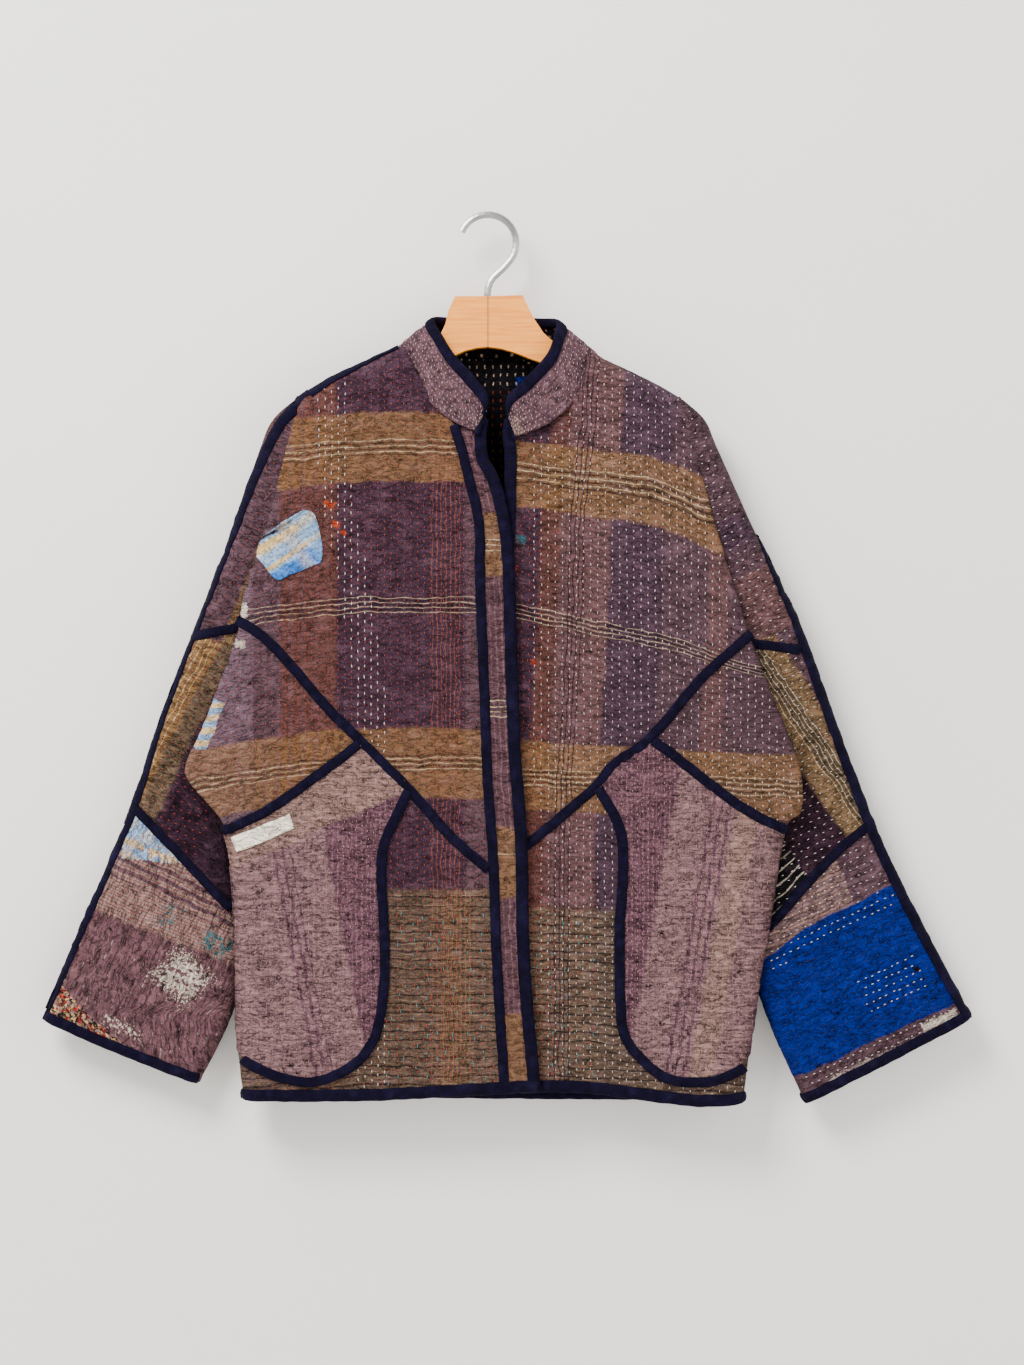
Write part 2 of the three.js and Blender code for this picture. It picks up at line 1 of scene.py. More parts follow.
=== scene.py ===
# A patched, quilted cotton jacket hanging flat on a wooden hanger.
# Lengths below are in millimetres in the jacket's own frame: +x towards the wearer's left sleeve, the front
# facing -y, +z up, and the origin inside the crown of the hook. MM turns them into metres.
import math
import random
from bisect import bisect_left

import bmesh
import bpy
from mathutils import Matrix, Vector, noise


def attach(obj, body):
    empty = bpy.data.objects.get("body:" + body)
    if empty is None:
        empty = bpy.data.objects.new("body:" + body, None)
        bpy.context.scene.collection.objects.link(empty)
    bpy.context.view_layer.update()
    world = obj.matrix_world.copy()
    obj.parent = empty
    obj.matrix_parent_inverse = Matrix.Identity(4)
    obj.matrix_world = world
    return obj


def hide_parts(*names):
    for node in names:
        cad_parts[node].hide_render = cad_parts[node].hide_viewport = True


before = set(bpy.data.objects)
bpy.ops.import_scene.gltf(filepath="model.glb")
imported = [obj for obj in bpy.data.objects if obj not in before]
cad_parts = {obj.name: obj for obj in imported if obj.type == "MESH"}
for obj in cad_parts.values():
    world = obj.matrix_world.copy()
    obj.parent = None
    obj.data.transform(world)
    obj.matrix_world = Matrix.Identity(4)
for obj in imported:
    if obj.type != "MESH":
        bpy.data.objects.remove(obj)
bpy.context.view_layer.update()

MM = 0.001
GRAIN = 1.0

# ------------------------------------------------------------------ sizes of the cut
CLOTH = 2.2              # the quilted wall
TAPE_WIDTH = 9.5         # a binding tape, where a ribbon isn't given its own width
FRONT_DEPTH = 27.0       # inside of the front, ahead of the hook
BACK_DEPTH = 16.0        # inside of the back, behind the hook
CHEST = 4.0              # how much further the chest stands out
LAP = 7.5                # the wearer's left front dips behind the right one
ROLL = 18.0              # radius of the turn at shoulder and side
FLAP_ROLL = 7.0          # the same where the front's outer edge is folded over the sleeve
FLAP_TURN = 4.0          # how far that fold goes back
TUCK = 0.8               # how far the fronts dip under the collar
SIDE_PLANE = -8.0        # depth of the side seam
SLEEVE_PLANE = 6.0       # depth of the overarm seam from the ring down
SLEEVE_FRONT = -6.0      # depth of the sleeve's front at the crotch
SLEEVE_ROLL = 13.0       # radius of the turn along a sleeve's edges
TOP_Z = -190.0
RING_Z = -391.0          # the rings round the sleeves
CROTCH_Z = -578.0        # where a sleeve leaves the body
TAPE_WALL = 0.7          # the thickness of a binding tape
BODY_PITCH = 2.7         # spacing of the points of the fronts, pockets and placket
SLEEVE_PITCH = 3.2
BACK_PITCH = 4.2
SCRAP_PITCH = 2.0
WAYS = ((-1, "front"), (1, "back"))


def mix(a, b, t):
    return a + (b - a) * t


def smooth(start, end, at):
    t = min(max((at - start) / (end - start), 0.0), 1.0)
    return t * t * (3 - 2 * t)


# ------------------------------------------------------------------ lines, as (x, z) seen from the front
class Line:
    """A smooth line through a few points."""

    def __init__(self, *points, fine=10):
        self.points = []
        last = len(points) - 1
        for i in range(last):
            near = [points[min(max(i + k, 0), last)] for k in (-1, 0, 1, 2)]
            for step in range(fine):
                self.points.append(self.bend(near, step / fine))
        self.points.append(points[-1])
        self.reach = [0.0]
        for (ax, az), (bx, bz) in zip(self.points, self.points[1:]):
            self.reach.append(self.reach[-1] + math.hypot(bx - ax, bz - az))
        self.length = self.reach[-1]
        self.by_z = sorted((z, x) for x, z in self.points)
        self.by_x = sorted(self.points)

    @staticmethod
    def bend(near, t):
        a, b, c, d = near
        return tuple(
            0.5 * (2 * q + (r - p) * t + (2 * p - 5 * q + 4 * r - s) * t * t
                   + (3 * q - p - 3 * r + s) * t ** 3)
            for p, q, r, s in zip(a, b, c, d)
        )

    @staticmethod
    def look_up(table, key):
        i = min(max(bisect_left(table, (key, -1e9)), 1), len(table) - 1)
        (a, p), (b, q) = table[i - 1], table[i]
        t = (key - a) / (b - a) if b != a else 0.0
        return mix(p, q, min(max(t, 0.0), 1.0))

    def x(self, z):
        """For a line that only falls."""
        return self.look_up(self.by_z, z)

    def z(self, x):
        """For a line that only goes across."""
        return self.look_up(self.by_x, x)

    def lean(self, z):
        """Cosine of the line's slope away from upright."""
        slope = (self.x(z + 6) - self.x(z - 6)) / 12
        return 1 / math.hypot(1, slope)

    def at(self, t):
        far = t * self.length
        i = min(max(bisect_left(self.reach, far), 1), len(self.reach) - 1)
        t = (far - self.reach[i - 1]) / (self.reach[i] - self.reach[i - 1])
        (ax, az), (bx, bz) = self.points[i - 1], self.points[i]
        return ax + (bx - ax) * t, az + (bz - az) * t

    def aside(self, t):
        """A unit step square to the line, to the left of its direction."""
        (ax, az), (bx, bz) = self.at(max(t - 0.004, 0)), self.at(min(t + 0.004, 1))
        run = math.hypot(bx - ax, bz - az)
        return -(bz - az) / run, (bx - ax) / run


class Side:
    """The lines of the wearer's right or left half; out is the way from the middle to that side."""

    def __init__(self, name, out, **lines):
        self.name = name
        self.out = out
        for key, points in lines.items():
            setattr(self, key, Line(*points))


RIGHT = Side(
    "right", -1,
    shoulder=[(-84, -125), (-108, -135), (-139, -149), (-164, -163), (-182, -174)],
    flap=[(-182, -174), (-192, -220), (-204, -280), (-228, -357), (-236, -399), (-266, -480), (-284, -523),
          (-271, -545), (-247, -578), (-239, -648), (-236, -776), (-230, -833)],
    armhole=[(-182, -174), (-190, -210), (-204, -260), (-222, -360), (-238, -458), (-245, -520),
             (-246, -580)],
    outer=[(-182, -174), (-203, -193), (-215, -220), (-244, -306), (-276, -391), (-309, -477), (-349, -591),
           (-387, -676), (-420, -762), (-428, -778)],
    inner=[(-150, -156), (-180, -210), (-194, -260), (-210, -360), (-226, -458), (-236, -530), (-247, -592),
           (-242, -640), (-240, -700), (-244, -750), (-279, -824), (-290, -842)],
    cuff_hem=[(-424, -759), (-351, -791), (-279, -819)],
    diagonal=[(-236, -381), (-201, -408), (-154, -462), (-119, -497), (-75, -541), (-36, -585), (4, -620)],
    ring=[(-281, -399), (-262, -394), (-237, -389), (-205, -380)],
    cuff_seam=[(-352, -543), (-337, -558), (-292, -605), (-245, -655)],
    pocket_top=[(-119, -497), (-166, -532), (-213, -564), (-252, -581)],
    pocket_side=[(-75, -543), (-97, -590), (-101, -623), (-98, -670), (-98, -723), (-104, -766),
                 (-112, -784)],
    pocket_foot=[(-112, -784), (-126, -800), (-148, -812), (-172, -817), (-207, -808), (-244, -786)],
    edge=[(-4, -212), (-2, -230), (10, -255), (21, -312), (24, -388), (28, -500), (34, -588), (37, -705),
          (47, -824)],
    hem=[(-230, -833), (-124, -833), (-25, -828), (47, -824)],
    pocket_far=[(-251, -581), (-244, -620), (-240, -680), (-237, -740), (-237, -786)],
    over_shoulder=[(-84, -126.5), (-111, -139), (-136, -151.5), (-152, -159.5), (-168, -170)],
    tape=[(-168, -169), (-180, -180.5), (-198, -203), (-216, -241), (-237, -294), (-275, -388),
          (-310, -479), (-333, -553), (-352, -600), (-385, -676), (-418, -752)],
    neck=[(-4, -212), (-32, -199), (-51, -182), (-64, -162), (-75, -141), (-83, -125)],
)
LEFT = Side(
    "left", 1,
    shoulder=[(100, -132), (118, -140), (137, -149), (164, -163), (182, -174)],
    flap=[(182, -174), (194, -220), (210, -286), (234, -364), (246, -402), (271, -468), (291, -520),
          (293, -560), (278, -580), (262, -678), (247, -772), (239, -836)],
    armhole=[(182, -174), (192, -210), (208, -260), (232, -360), (256, -458), (270, -520), (277, -556),
             (278, -582)],
    outer=[(182, -174), (203, -193), (215, -220), (254, -306), (295, -391), (327, -477), (371, -591),
           (412, -676), (457, -762), (466, -780)],
    inner=[(150, -156), (180, -210), (196, -260), (220, -360), (244, -458), (260, -530), (274, -592),
           (263, -650), (255, -712), (267, -760), (302, -838), (310, -858)],
    cuff_hem=[(458, -758), (380, -799), (303, -838)],
    diagonal=[(247, -395), (199, -438), (152, -493), (119, -517), (102, -538), (69, -567), (5, -620)],
    ring=[(301, -412), (275, -407), (250, -404), (215, -395)],
    cuff_seam=[(385, -552), (362, -574), (322, -609), (262, -677)],
    pocket_top=[(152, -493), (187, -520), (239, -559), (288, -583)],
    pocket_side=[(104, -540), (124, -580), (126, -623), (123, -682), (125, -758), (133, -782)],
    pocket_foot=[(133, -782), (142, -793), (160, -809), (181, -816), (217, -814), (256, -792)],
    edge=[(15, -210), (17, -240), (14, -350), (17, -470), (21, -588), (25, -705), (31, -826)],
    hem=[(31, -826), (93, -826), (152, -833), (199, -838), (239, -836)],
    pocket_far=[(277, -581), (269, -630), (262, -680), (253, -740), (248, -788)],
    tape=[(251, -296), (271, -342), (291, -391), (322, -477), (365, -589), (407, -676), (452, -757)],
    neck=[(15, -210), (39, -205), (59, -197), (81, -177), (93, -158), (100, -132)],
)
PLACKET_SEAM = Line((-32, -199), (-19, -247), (-9, -294), (-8, -352), (-5, -423), (-1, -529), (4, -605),
                    (8, -705), (15, -826))


# ------------------------------------------------------------------ where the cloth lies
def turned(gap, roll):
    """0 at a closed edge, 1 once the cloth has turned onto its face."""
    short = max(0.0, 1 - max(0.0, gap) / roll)
    return math.sqrt(max(0.0, 1 - short * short))


def below_crotch(z):
    return smooth(CROTCH_Z + 18, CROTCH_Z - 18, z)


def ridge_gap(s, x, z):
    """Drop from the shoulder line, which runs on up past the neck point."""
    start = s.shoulder.points[0]
    short = s.out * (start[0] - x)
    top = start[1] + 0.5 * short if short > 0 else s.shoulder.z(x)
    return (top - z) * 0.88


def drape(x, z):
    """Soft hollows and swells of hanging cloth."""
    broad = noise.noise(Vector((x / 105, 3.1, z / 170)))
    small = noise.noise(Vector((x / 44, 7.7, z / 62)))
    return 2.3 * broad + 1.1 * small


def front_depth(s, x, z):
    chest = CHEST * smooth(-180, -300, z) * smooth(-760, -420, z)
    lap = LAP * smooth(125, 68, x) if s is LEFT else 0.0
    tuck = TUCK * smooth(0, 4, s.out * (s.neck.x(z) - x)) if z > s.neck.points[0][1] else 0.0
    face = lap + tuck - FRONT_DEPTH - chest - drape(x, z) * smooth(-190, -260, z)
    gap = s.out * (s.flap.x(z) - x) * s.flap.lean(z)
    folded = mix(face + FLAP_TURN, face, turned(gap, FLAP_ROLL))
    seamed = mix(SIDE_PLANE, face, turned(gap, ROLL))
    return mix(0.0, mix(folded, seamed, below_crotch(z)), turned(ridge_gap(s, x, z), ROLL))


def back_depth(s, x, z):
    limit = s.flap if z < CROTCH_Z else s.armhole
    gap = s.out * (limit.x(z) - x) * limit.lean(z)
    face = BACK_DEPTH + 0.6 * drape(x + 300, z) * smooth(-170, -260, z) * smooth(4, 40, gap)
    seamed = mix(SIDE_PLANE, face, turned(gap, ROLL))
    return mix(0.0, mix(face, seamed, below_crotch(z)), turned(ridge_gap(s, x, z), ROLL))


def sleeve_depth(s, face_way, x, z):
    near = s.out * (x - s.inner.x(z)) * s.inner.lean(z)
    far = s.out * (s.outer.x(z) - x) * s.outer.lean(z)
    if face_way < 0:
        tuck = 3.5 * smooth(0, 12, s.out * (s.flap.x(z) - x)) * smooth(-560, -540, z)
        face = mix(-FRONT_DEPTH, SLEEVE_FRONT, smooth(TOP_Z, CROTCH_Z, z)) + tuck
        face -= 0.6 * drape(x + 700, z) * smooth(-200, -300, z)
    else:
        face = BACK_DEPTH + 0.4 * drape(x + 300, z) * smooth(-200, -300, z)
    underarm = mix(1.0, turned(near, SLEEVE_ROLL), below_crotch(z))
    plane = SLEEVE_PLANE * smooth(TOP_Z, RING_Z, z)
    closed = turned(far, SLEEVE_ROLL) * underarm
    if s.out * x < s.out * s.outer.points[0][0]:
        closed *= turned(ridge_gap(s, x, z), ROLL)
    return mix(plane, face, closed)


def quilting(x, z):
    """Ripples that the running stitches draw up between their rows."""
    across = noise.noise(Vector((x / 15, 1.3, z / 5.6)))
    knots = noise.noise(Vector((x / 5.5, 9.2, z / 5.0)))
    return 0.95 * across + 0.4 * knots


class Sheet:
    """One stretch of cloth: its depth, and which way its outside faces (-1 forwards, 1 backwards)."""

    def __init__(self, depth, way):
        self.depth = depth
        self.way = way

    def normal(self, x, z):
        step = 0.6
        lean_x = (self.depth(x + step, z) - self.depth(x - step, z)) / (2 * step)
        lean_z = (self.depth(x, z + step) - self.depth(x, z - step)) / (2 * step)
        return Vector((-self.way * lean_x, self.way, -self.way * lean_z)).normalized()

    def place(self, x, z, lift=CLOTH, rippled=1.0):
        out = self.normal(x, z)
        if rippled:
            lift += rippled * quilting(x, z) * min(1.0, out.y * self.way * 2)
        return (Vector((x, self.depth(x, z), z)) + out * lift) * MM


FRONT = {s: Sheet(lambda x, z, s=s: front_depth(s, x, z), -1) for s in (RIGHT, LEFT)}
SLEEVE = {
    (s, way): Sheet(lambda x, z, s=s, way=way: sleeve_depth(s, way, x, z), way)
    for s in (RIGHT, LEFT)
    for way in (-1, 1)
}


# ------------------------------------------------------------------ making meshes
def new_piece(name, bm, materials, nodes=()):
    """Makes a visible piece on the root body; nodes are the CAD solids that it takes the place of."""
    mesh = bpy.data.meshes.new(name)
    bm.to_mesh(mesh)
    bm.free()
    for face in mesh.polygons:
        face.use_smooth = True
    piece = bpy.data.objects.new(name, mesh)
    bpy.context.scene.collection.objects.link(piece)
    for material in materials:
        mesh.materials.append(material)
    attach(piece, "root")
    if nodes:
        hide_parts(*nodes)
    return piece


def grid(columns, rows):
    """A flat grid whose vertices still carry their share across and down, from 0 to 1."""
    bm = bmesh.new()
    bmesh.ops.create_grid(bm, x_segments=columns, y_segments=rows, size=0.5)
    bm.loops.layers.uv.new("weave")
    bm.verts.layers.float.new("ridge")
    shares = {v: (v.co.x + 0.5, 0.5 - v.co.y) for v in bm.verts}
    return bm, shares


def fill(top, foot, near, far, u, v):
    """A point between four edge lines."""
    tx, tz = top.at(u)
    bx, bz = foot.at(u)
    nx, nz = near.at(v)
    fx, fz = far.at(v)
    (ax, az), (cx, cz), (dx, dz), (ex, ez) = top.at(0), top.at(1), foot.at(0), foot.at(1)
    x = mix(tx, bx, v) + mix(nx, fx, u) - mix(mix(ax, cx, u), mix(dx, ex, u), v)
    z = mix(tz, bz, v) + mix(nz, fz, u) - mix(mix(az, cz, u), mix(dz, ez, u), v)
    return x, z


def evenly(t):
    return t


def tight_ends(t):
    """Spaces columns closer towards the far end, where the cloth turns."""
    return mix(t, 1 - (1 - t) ** 1.6, 0.6)


def tight_both(t):
    return mix(t, 0.5 - 0.5 * math.cos(math.pi * t), 0.5)


def flat_cloth(edges, pitch, spacing=evenly):
    """A grid of cloth still drawn flat: its vertices hold (x, z) in millimetres."""
    top, foot, near, far = edges
    pitch *= GRAIN
    columns = int(max(top.length, foot.length) / pitch)
    rows = int(max(near.length, far.length) / pitch)
    bm, shares = grid(columns, rows)
    for v, (a, b) in shares.items():
        x, z = fill(top, foot, near, far, spacing(a), b)
        v.co = (x, 0, z)
    return bm


def cut(flat, keep):
    """A copy of a flat cloth with only the faces whose middle passes a test."""
    bm = flat.copy()
    drop = [f for f in bm.faces if not keep(f.calc_center_median().x, f.calc_center_median().z)]
    bmesh.ops.delete(bm, geom=drop, context="FACES")
    return bm


def hang(bm, sheet, threads, lift):
    """Writes each point's place in the weave to a UV map, then lays the cloth on its sheet."""
    weave = bm.loops.layers.uv["weave"]
    for face in bm.faces:
        for loop in face.loops:
            u, v = threads(loop.vert.co.x, loop.vert.co.z)
            loop[weave].uv = (u * MM, v * MM)
    # The ripple's height also goes to the ridge attribute, which the cloth shader turns into painted shade
    # and wear.
    ridge = bm.verts.layers.float["ridge"]
    for v in bm.verts:
        v[ridge] = quilting(v.co.x, v.co.z)
        v.co = sheet.place(v.co.x, v.co.z, lift)
    bm.normal_update()
    facing = sum(f.normal.y * f.calc_area() for f in bm.faces)
    if facing * sheet.way < 0:
        bmesh.ops.reverse_faces(bm, faces=bm.faces)


def wall(piece, thickness, lining=True):
    """Gives a sheet its thickness, inwards; the inside shows the reverse cloth."""
    solid = piece.modifiers.new("wall", "SOLIDIFY")
    solid.thickness = thickness * MM
    solid.offset = -1
    solid.use_even_offset = False
    if lining:
        solid.material_offset = 1
        solid.material_offset_rim = 0
    return piece


# ------------------------------------------------------------------ shader tools
def dye(red, green, blue):
    """A colour given as 0 to 255, turned into the linear one that shaders use."""
    shares = [c / 255 for c in (red, green, blue)]
    return tuple(((s + 0.055) / 1.055) ** 2.4 if s > 10 / 255 else s / 12.92 for s in shares) + (1,)


def shaded_dye(colour, share):
    """The same dye with its light turned down to a share."""
    return tuple(share * c for c in colour[:3]) + (1,)


def put(tree, socket, value):
    if isinstance(value, bpy.types.NodeSocket):
        tree.links.new(value, socket)
    else:
        socket.default_value = value


def node(tree, kind, inputs=(), **settings):
    made = tree.nodes.new("ShaderNode" + kind)
    for key, value in settings.items():
        setattr(made, key, value)
    for key, value in dict(inputs).items():
        put(tree, made.inputs[key], value)
    return made


def calc(tree, operation, a, b=0.0):
    return node(tree, "Math", {0: a, 1: b}, operation=operation).outputs[0]


def plus(tree, a, b):
    return calc(tree, "ADD", a, b)


def less(tree, a, b):
    return calc(tree, "SUBTRACT", a, b)


def times(tree, a, b):
    return calc(tree, "MULTIPLY", a, b)


def clamped_sum(tree, a, b):
    return node(tree, "Math", {0: a, 1: b}, operation="ADD", use_clamp=True).outputs[0]


def vector_calc(tree, operation, a, b=(0, 0, 0)):
    return node(tree, "VectorMath", {0: a, 1: b}, operation=operation).outputs[0]


def scaled_by(tree, vector, scale):
    return node(tree, "VectorMath", {0: vector, "Scale": scale}, operation="SCALE").outputs[0]


def mottle(tree, place, scale, detail=2.0, distortion=0.0):
    """Soft noise round 0.5."""
    inputs = {"Vector": place, "Scale": scale, "Detail": detail, "Distortion": distortion}
    return node(tree, "TexNoise", inputs).outputs["Fac"]


def span(tree, value, low, high, to_low=0.0, to_high=1.0):
    """Maps low to high onto 0 to 1, or onto other ends."""
    inputs = {"Value": value, "From Min": low, "From Max": high, "To Min": to_low, "To Max": to_high}
    return node(tree, "MapRange", inputs).outputs[0]


def relief(tree, height, strength, distance):
    return node(tree, "Bump", {"Height": height, "Strength": strength, "Distance": distance}).outputs[0]


def bare_material(name):
    """An empty material and its node tree."""
    material = bpy.data.materials.new(name)
    material.use_nodes = True
    tree = material.node_tree
    tree.nodes.clear()
    return material, tree


def own_place(tree):
    return node(tree, "TexCoord").outputs["Object"]


def surface(tree, **inputs):
    """A principled surface; an input's name has underscores for its spaces."""
    named = {key.replace("_", " "): value for key, value in inputs.items()}
    return node(tree, "BsdfPrincipled", named).outputs[0]


def shown(tree, last):
    tree.links.new(last, node(tree, "OutputMaterial").inputs[0])


def ramp(tree, share, stops):
    """A colour ramp from (place, colour) stops."""
    made = node(tree, "ValToRGB", {"Fac": share})
    spots = made.color_ramp.elements
    spots[1].position = 1.0
    while len(spots) < len(stops):
        spots.new(0.5)
    for spot, (place, _) in zip(spots, stops):
        spot.position = place
    for spot, (_, colour) in zip(made.color_ramp.elements, stops):
        spot.color = colour
    return made.outputs[0]


def blend_colours(tree, a, b, share, way="MIX"):
    made = node(tree, "Mix", data_type="RGBA", blend_type=way, clamp_factor=True)
    put(tree, made.inputs[0], share)
    put(tree, made.inputs[6], a)
    put(tree, made.inputs[7], b)
    return made.outputs[2]


def group(name, inputs, outputs):
    """An empty node group: inputs are (name, kind, starting value), outputs (name, kind)."""
    made = bpy.data.node_groups.new(name, "ShaderNodeTree")
    for label, kind, value in inputs:
        socket = made.interface.new_socket(label, in_out="INPUT", socket_type="NodeSocket" + kind)
        socket.default_value = value
    for label, kind in outputs:
        made.interface.new_socket(label, in_out="OUTPUT", socket_type="NodeSocket" + kind)
    return made, made.nodes.new("NodeGroupInput").outputs, made.nodes.new("NodeGroupOutput").inputs


def band_group():
    """1 between Start and End, with edges that wander a little."""
    tree, given, out = group(
        "woven band",
        [("Along", "Float", 0.0), ("Start", "Float", 0.0), ("End", "Float", 1.0), ("Soft", "Float", 1.0)],
        [("Mask", "Float")],
    )
    nearest = calc(tree, "MINIMUM", less(tree, given["Along"], given["Start"]),
                   less(tree, given["End"], given["Along"]))
    scaled = calc(tree, "DIVIDE", nearest, given["Soft"])
    tree.links.new(clamped_sum(tree, scaled, 0.5), out["Mask"])
    return tree


def lines_group():
    """Thin lines a Pitch apart; Share is how much of the pitch each line takes."""
    tree, given, out = group(
        "woven lines",
        [("Along", "Float", 0.0), ("Pitch", "Float", 8.0), ("Share", "Float", 0.3)],
        [("Mask", "Float")],
    )
    saw = calc(tree, "FRACT", calc(tree, "DIVIDE", given["Along"], given["Pitch"]))
    centred = calc(tree, "ABSOLUTE", less(tree, saw, 0.5))
    inside = less(tree, times(tree, given["Share"], 0.5), centred)
    tree.links.new(clamped_sum(tree, times(tree, inside, 9.0), 0.5), out["Mask"])
    return tree


def scrap_group():
    """A rectangular scrap with frayed edges, centred at Middle and turned by Turn."""
    tree, given, out = group(
        "frayed scrap",
        [("Weave", "Vector", (0, 0, 0)), ("Middle", "Vector", (0, 0, 0)), ("Size", "Vector", (10, 10, 1)),
         ("Turn", "Float", 0.0), ("Fray", "Float", 1.0)],
        [("Mask", "Float")],
    )
    offset = vector_calc(tree, "SUBTRACT", given["Weave"], given["Middle"])
    turning = {"Vector": offset, "Angle": given["Turn"]}
    turn = node(tree, "VectorRotate", turning, rotation_type="Z_AXIS").outputs[0]
    rough = mottle(tree, offset, 0.55)
    fray = times(tree, less(tree, rough, 0.5), times(tree, given["Fray"], 5.0))
    room = vector_calc(tree, "SUBTRACT", given["Size"], vector_calc(tree, "ABSOLUTE", turn))
    split = node(tree, "SeparateXYZ", {0: room})
    least = calc(tree, "MINIMUM", split.outputs[0], split.outputs[1])
    tree.links.new(clamped_sum(tree, plus(tree, least, fray), 0.5), out["Mask"])
    return tree


def weave_and_painted_shade_group():
    """Worn handloom cotton. The first output goes round 1: the threads' own tone times painted shade, lighter
    on quilting ridges and pucker crowns and darker in pucker hollows and along creases. Height is for the
    bump.
    """
    tree, given, out = group(
        "handloom weave",
        [("Weave", "Vector", (0, 0, 0)), ("Ridge", "Float", 0.0), ("Slub", "Float", 0.3),
         ("Blotch", "Float", 0.3), ("Pucker", "Float", 1.0), ("Gather", "Vector", (0.105, 0.26, 1))],
        [("Shade", "Float"), ("Height", "Float"), ("Worn", "Float")],
    )
    shade = 0.0
    for stretch, seed in (((1.1, 0.07, 1), 3.0), ((0.07, 1.1, 1), 11.0)):
        long_way = vector_calc(tree, "MULTIPLY", given["Weave"], stretch)
        thread = node(tree, "TexNoise", {"Vector": long_way, "Scale": 1.0, "Detail": 2.0, "W": seed},
                      noise_dimensions="4D").outputs["Fac"]
        shade = plus(tree, shade, less(tree, thread, 0.5))
    fine = mottle(tree, given["Weave"], 0.9, 3.0)
    over_under = node(tree, "SeparateXYZ", {0: scaled_by(tree, given["Weave"], 4.2)}).outputs
    knit = times(tree, calc(tree, "SINE", over_under[0]), calc(tree, "SINE", over_under[1]))
    height = plus(tree, times(tree, knit, 0.12), times(tree, fine, 1.1))
    height = plus(tree, height, times(tree, shade, 0.5))
    drawn_up = vector_calc(tree, "MULTIPLY", given["Weave"], given["Gather"])
    pucker = times(tree, less(tree, mottle(tree, drawn_up, 1.0, 3.0, 0.5), 0.5), given["Pucker"])
    height = plus(tree, height, times(tree, pucker, 4.0))
    # The creases lower the bump here and are also painted darker below.
    from_fold = calc(tree, "ABSOLUTE", less(tree, mottle(tree, drawn_up, 0.66, 2.0, 0.9), 0.5))
    crease = times(tree, span(tree, from_fold, 0.0, 0.055, 1.0, 0.0), given["Pucker"])
    height = less(tree, height, times(tree, crease, 1.4))
    broad = mottle(tree, given["Weave"], 0.045, 4.0)
    blotch = times(tree, less(tree, broad, 0.5), given["Blotch"])
    slub = times(tree, times(tree, shade, given["Slub"]), 1.9)
    # Painted shade: lighter where the ridge attribute and the puckers rise, darker in pucker hollows and
    # along the creases.
    ridge = plus(tree, times(tree, given["Ridge"], 0.34), times(tree, pucker, 1.8))
    ridge = less(tree, ridge, times(tree, less(tree, crease, 0.35), 0.5))
    total = plus(tree, plus(tree, blotch, slub), plus(tree, ridge, 1.0))
    specks = times(tree, less(tree, fine, 0.5), 1.1)
    worn = plus(tree, plus(tree, times(tree, given["Ridge"], 0.5), specks),
                times(tree, less(tree, broad, 0.5), 0.9))
    tree.links.new(plus(tree, total, specks), out["Shade"])
    tree.links.new(height, out["Height"])
    tree.links.new(clamped_sum(tree, worn, 0.0), out["Worn"])
    return tree


BAND = band_group()
LINES = lines_group()
SCRAP = scrap_group()
WEAVE_AND_SHADE = weave_and_painted_shade_group()


WANDER = 7.0             # how far the stripes of a handloom wander


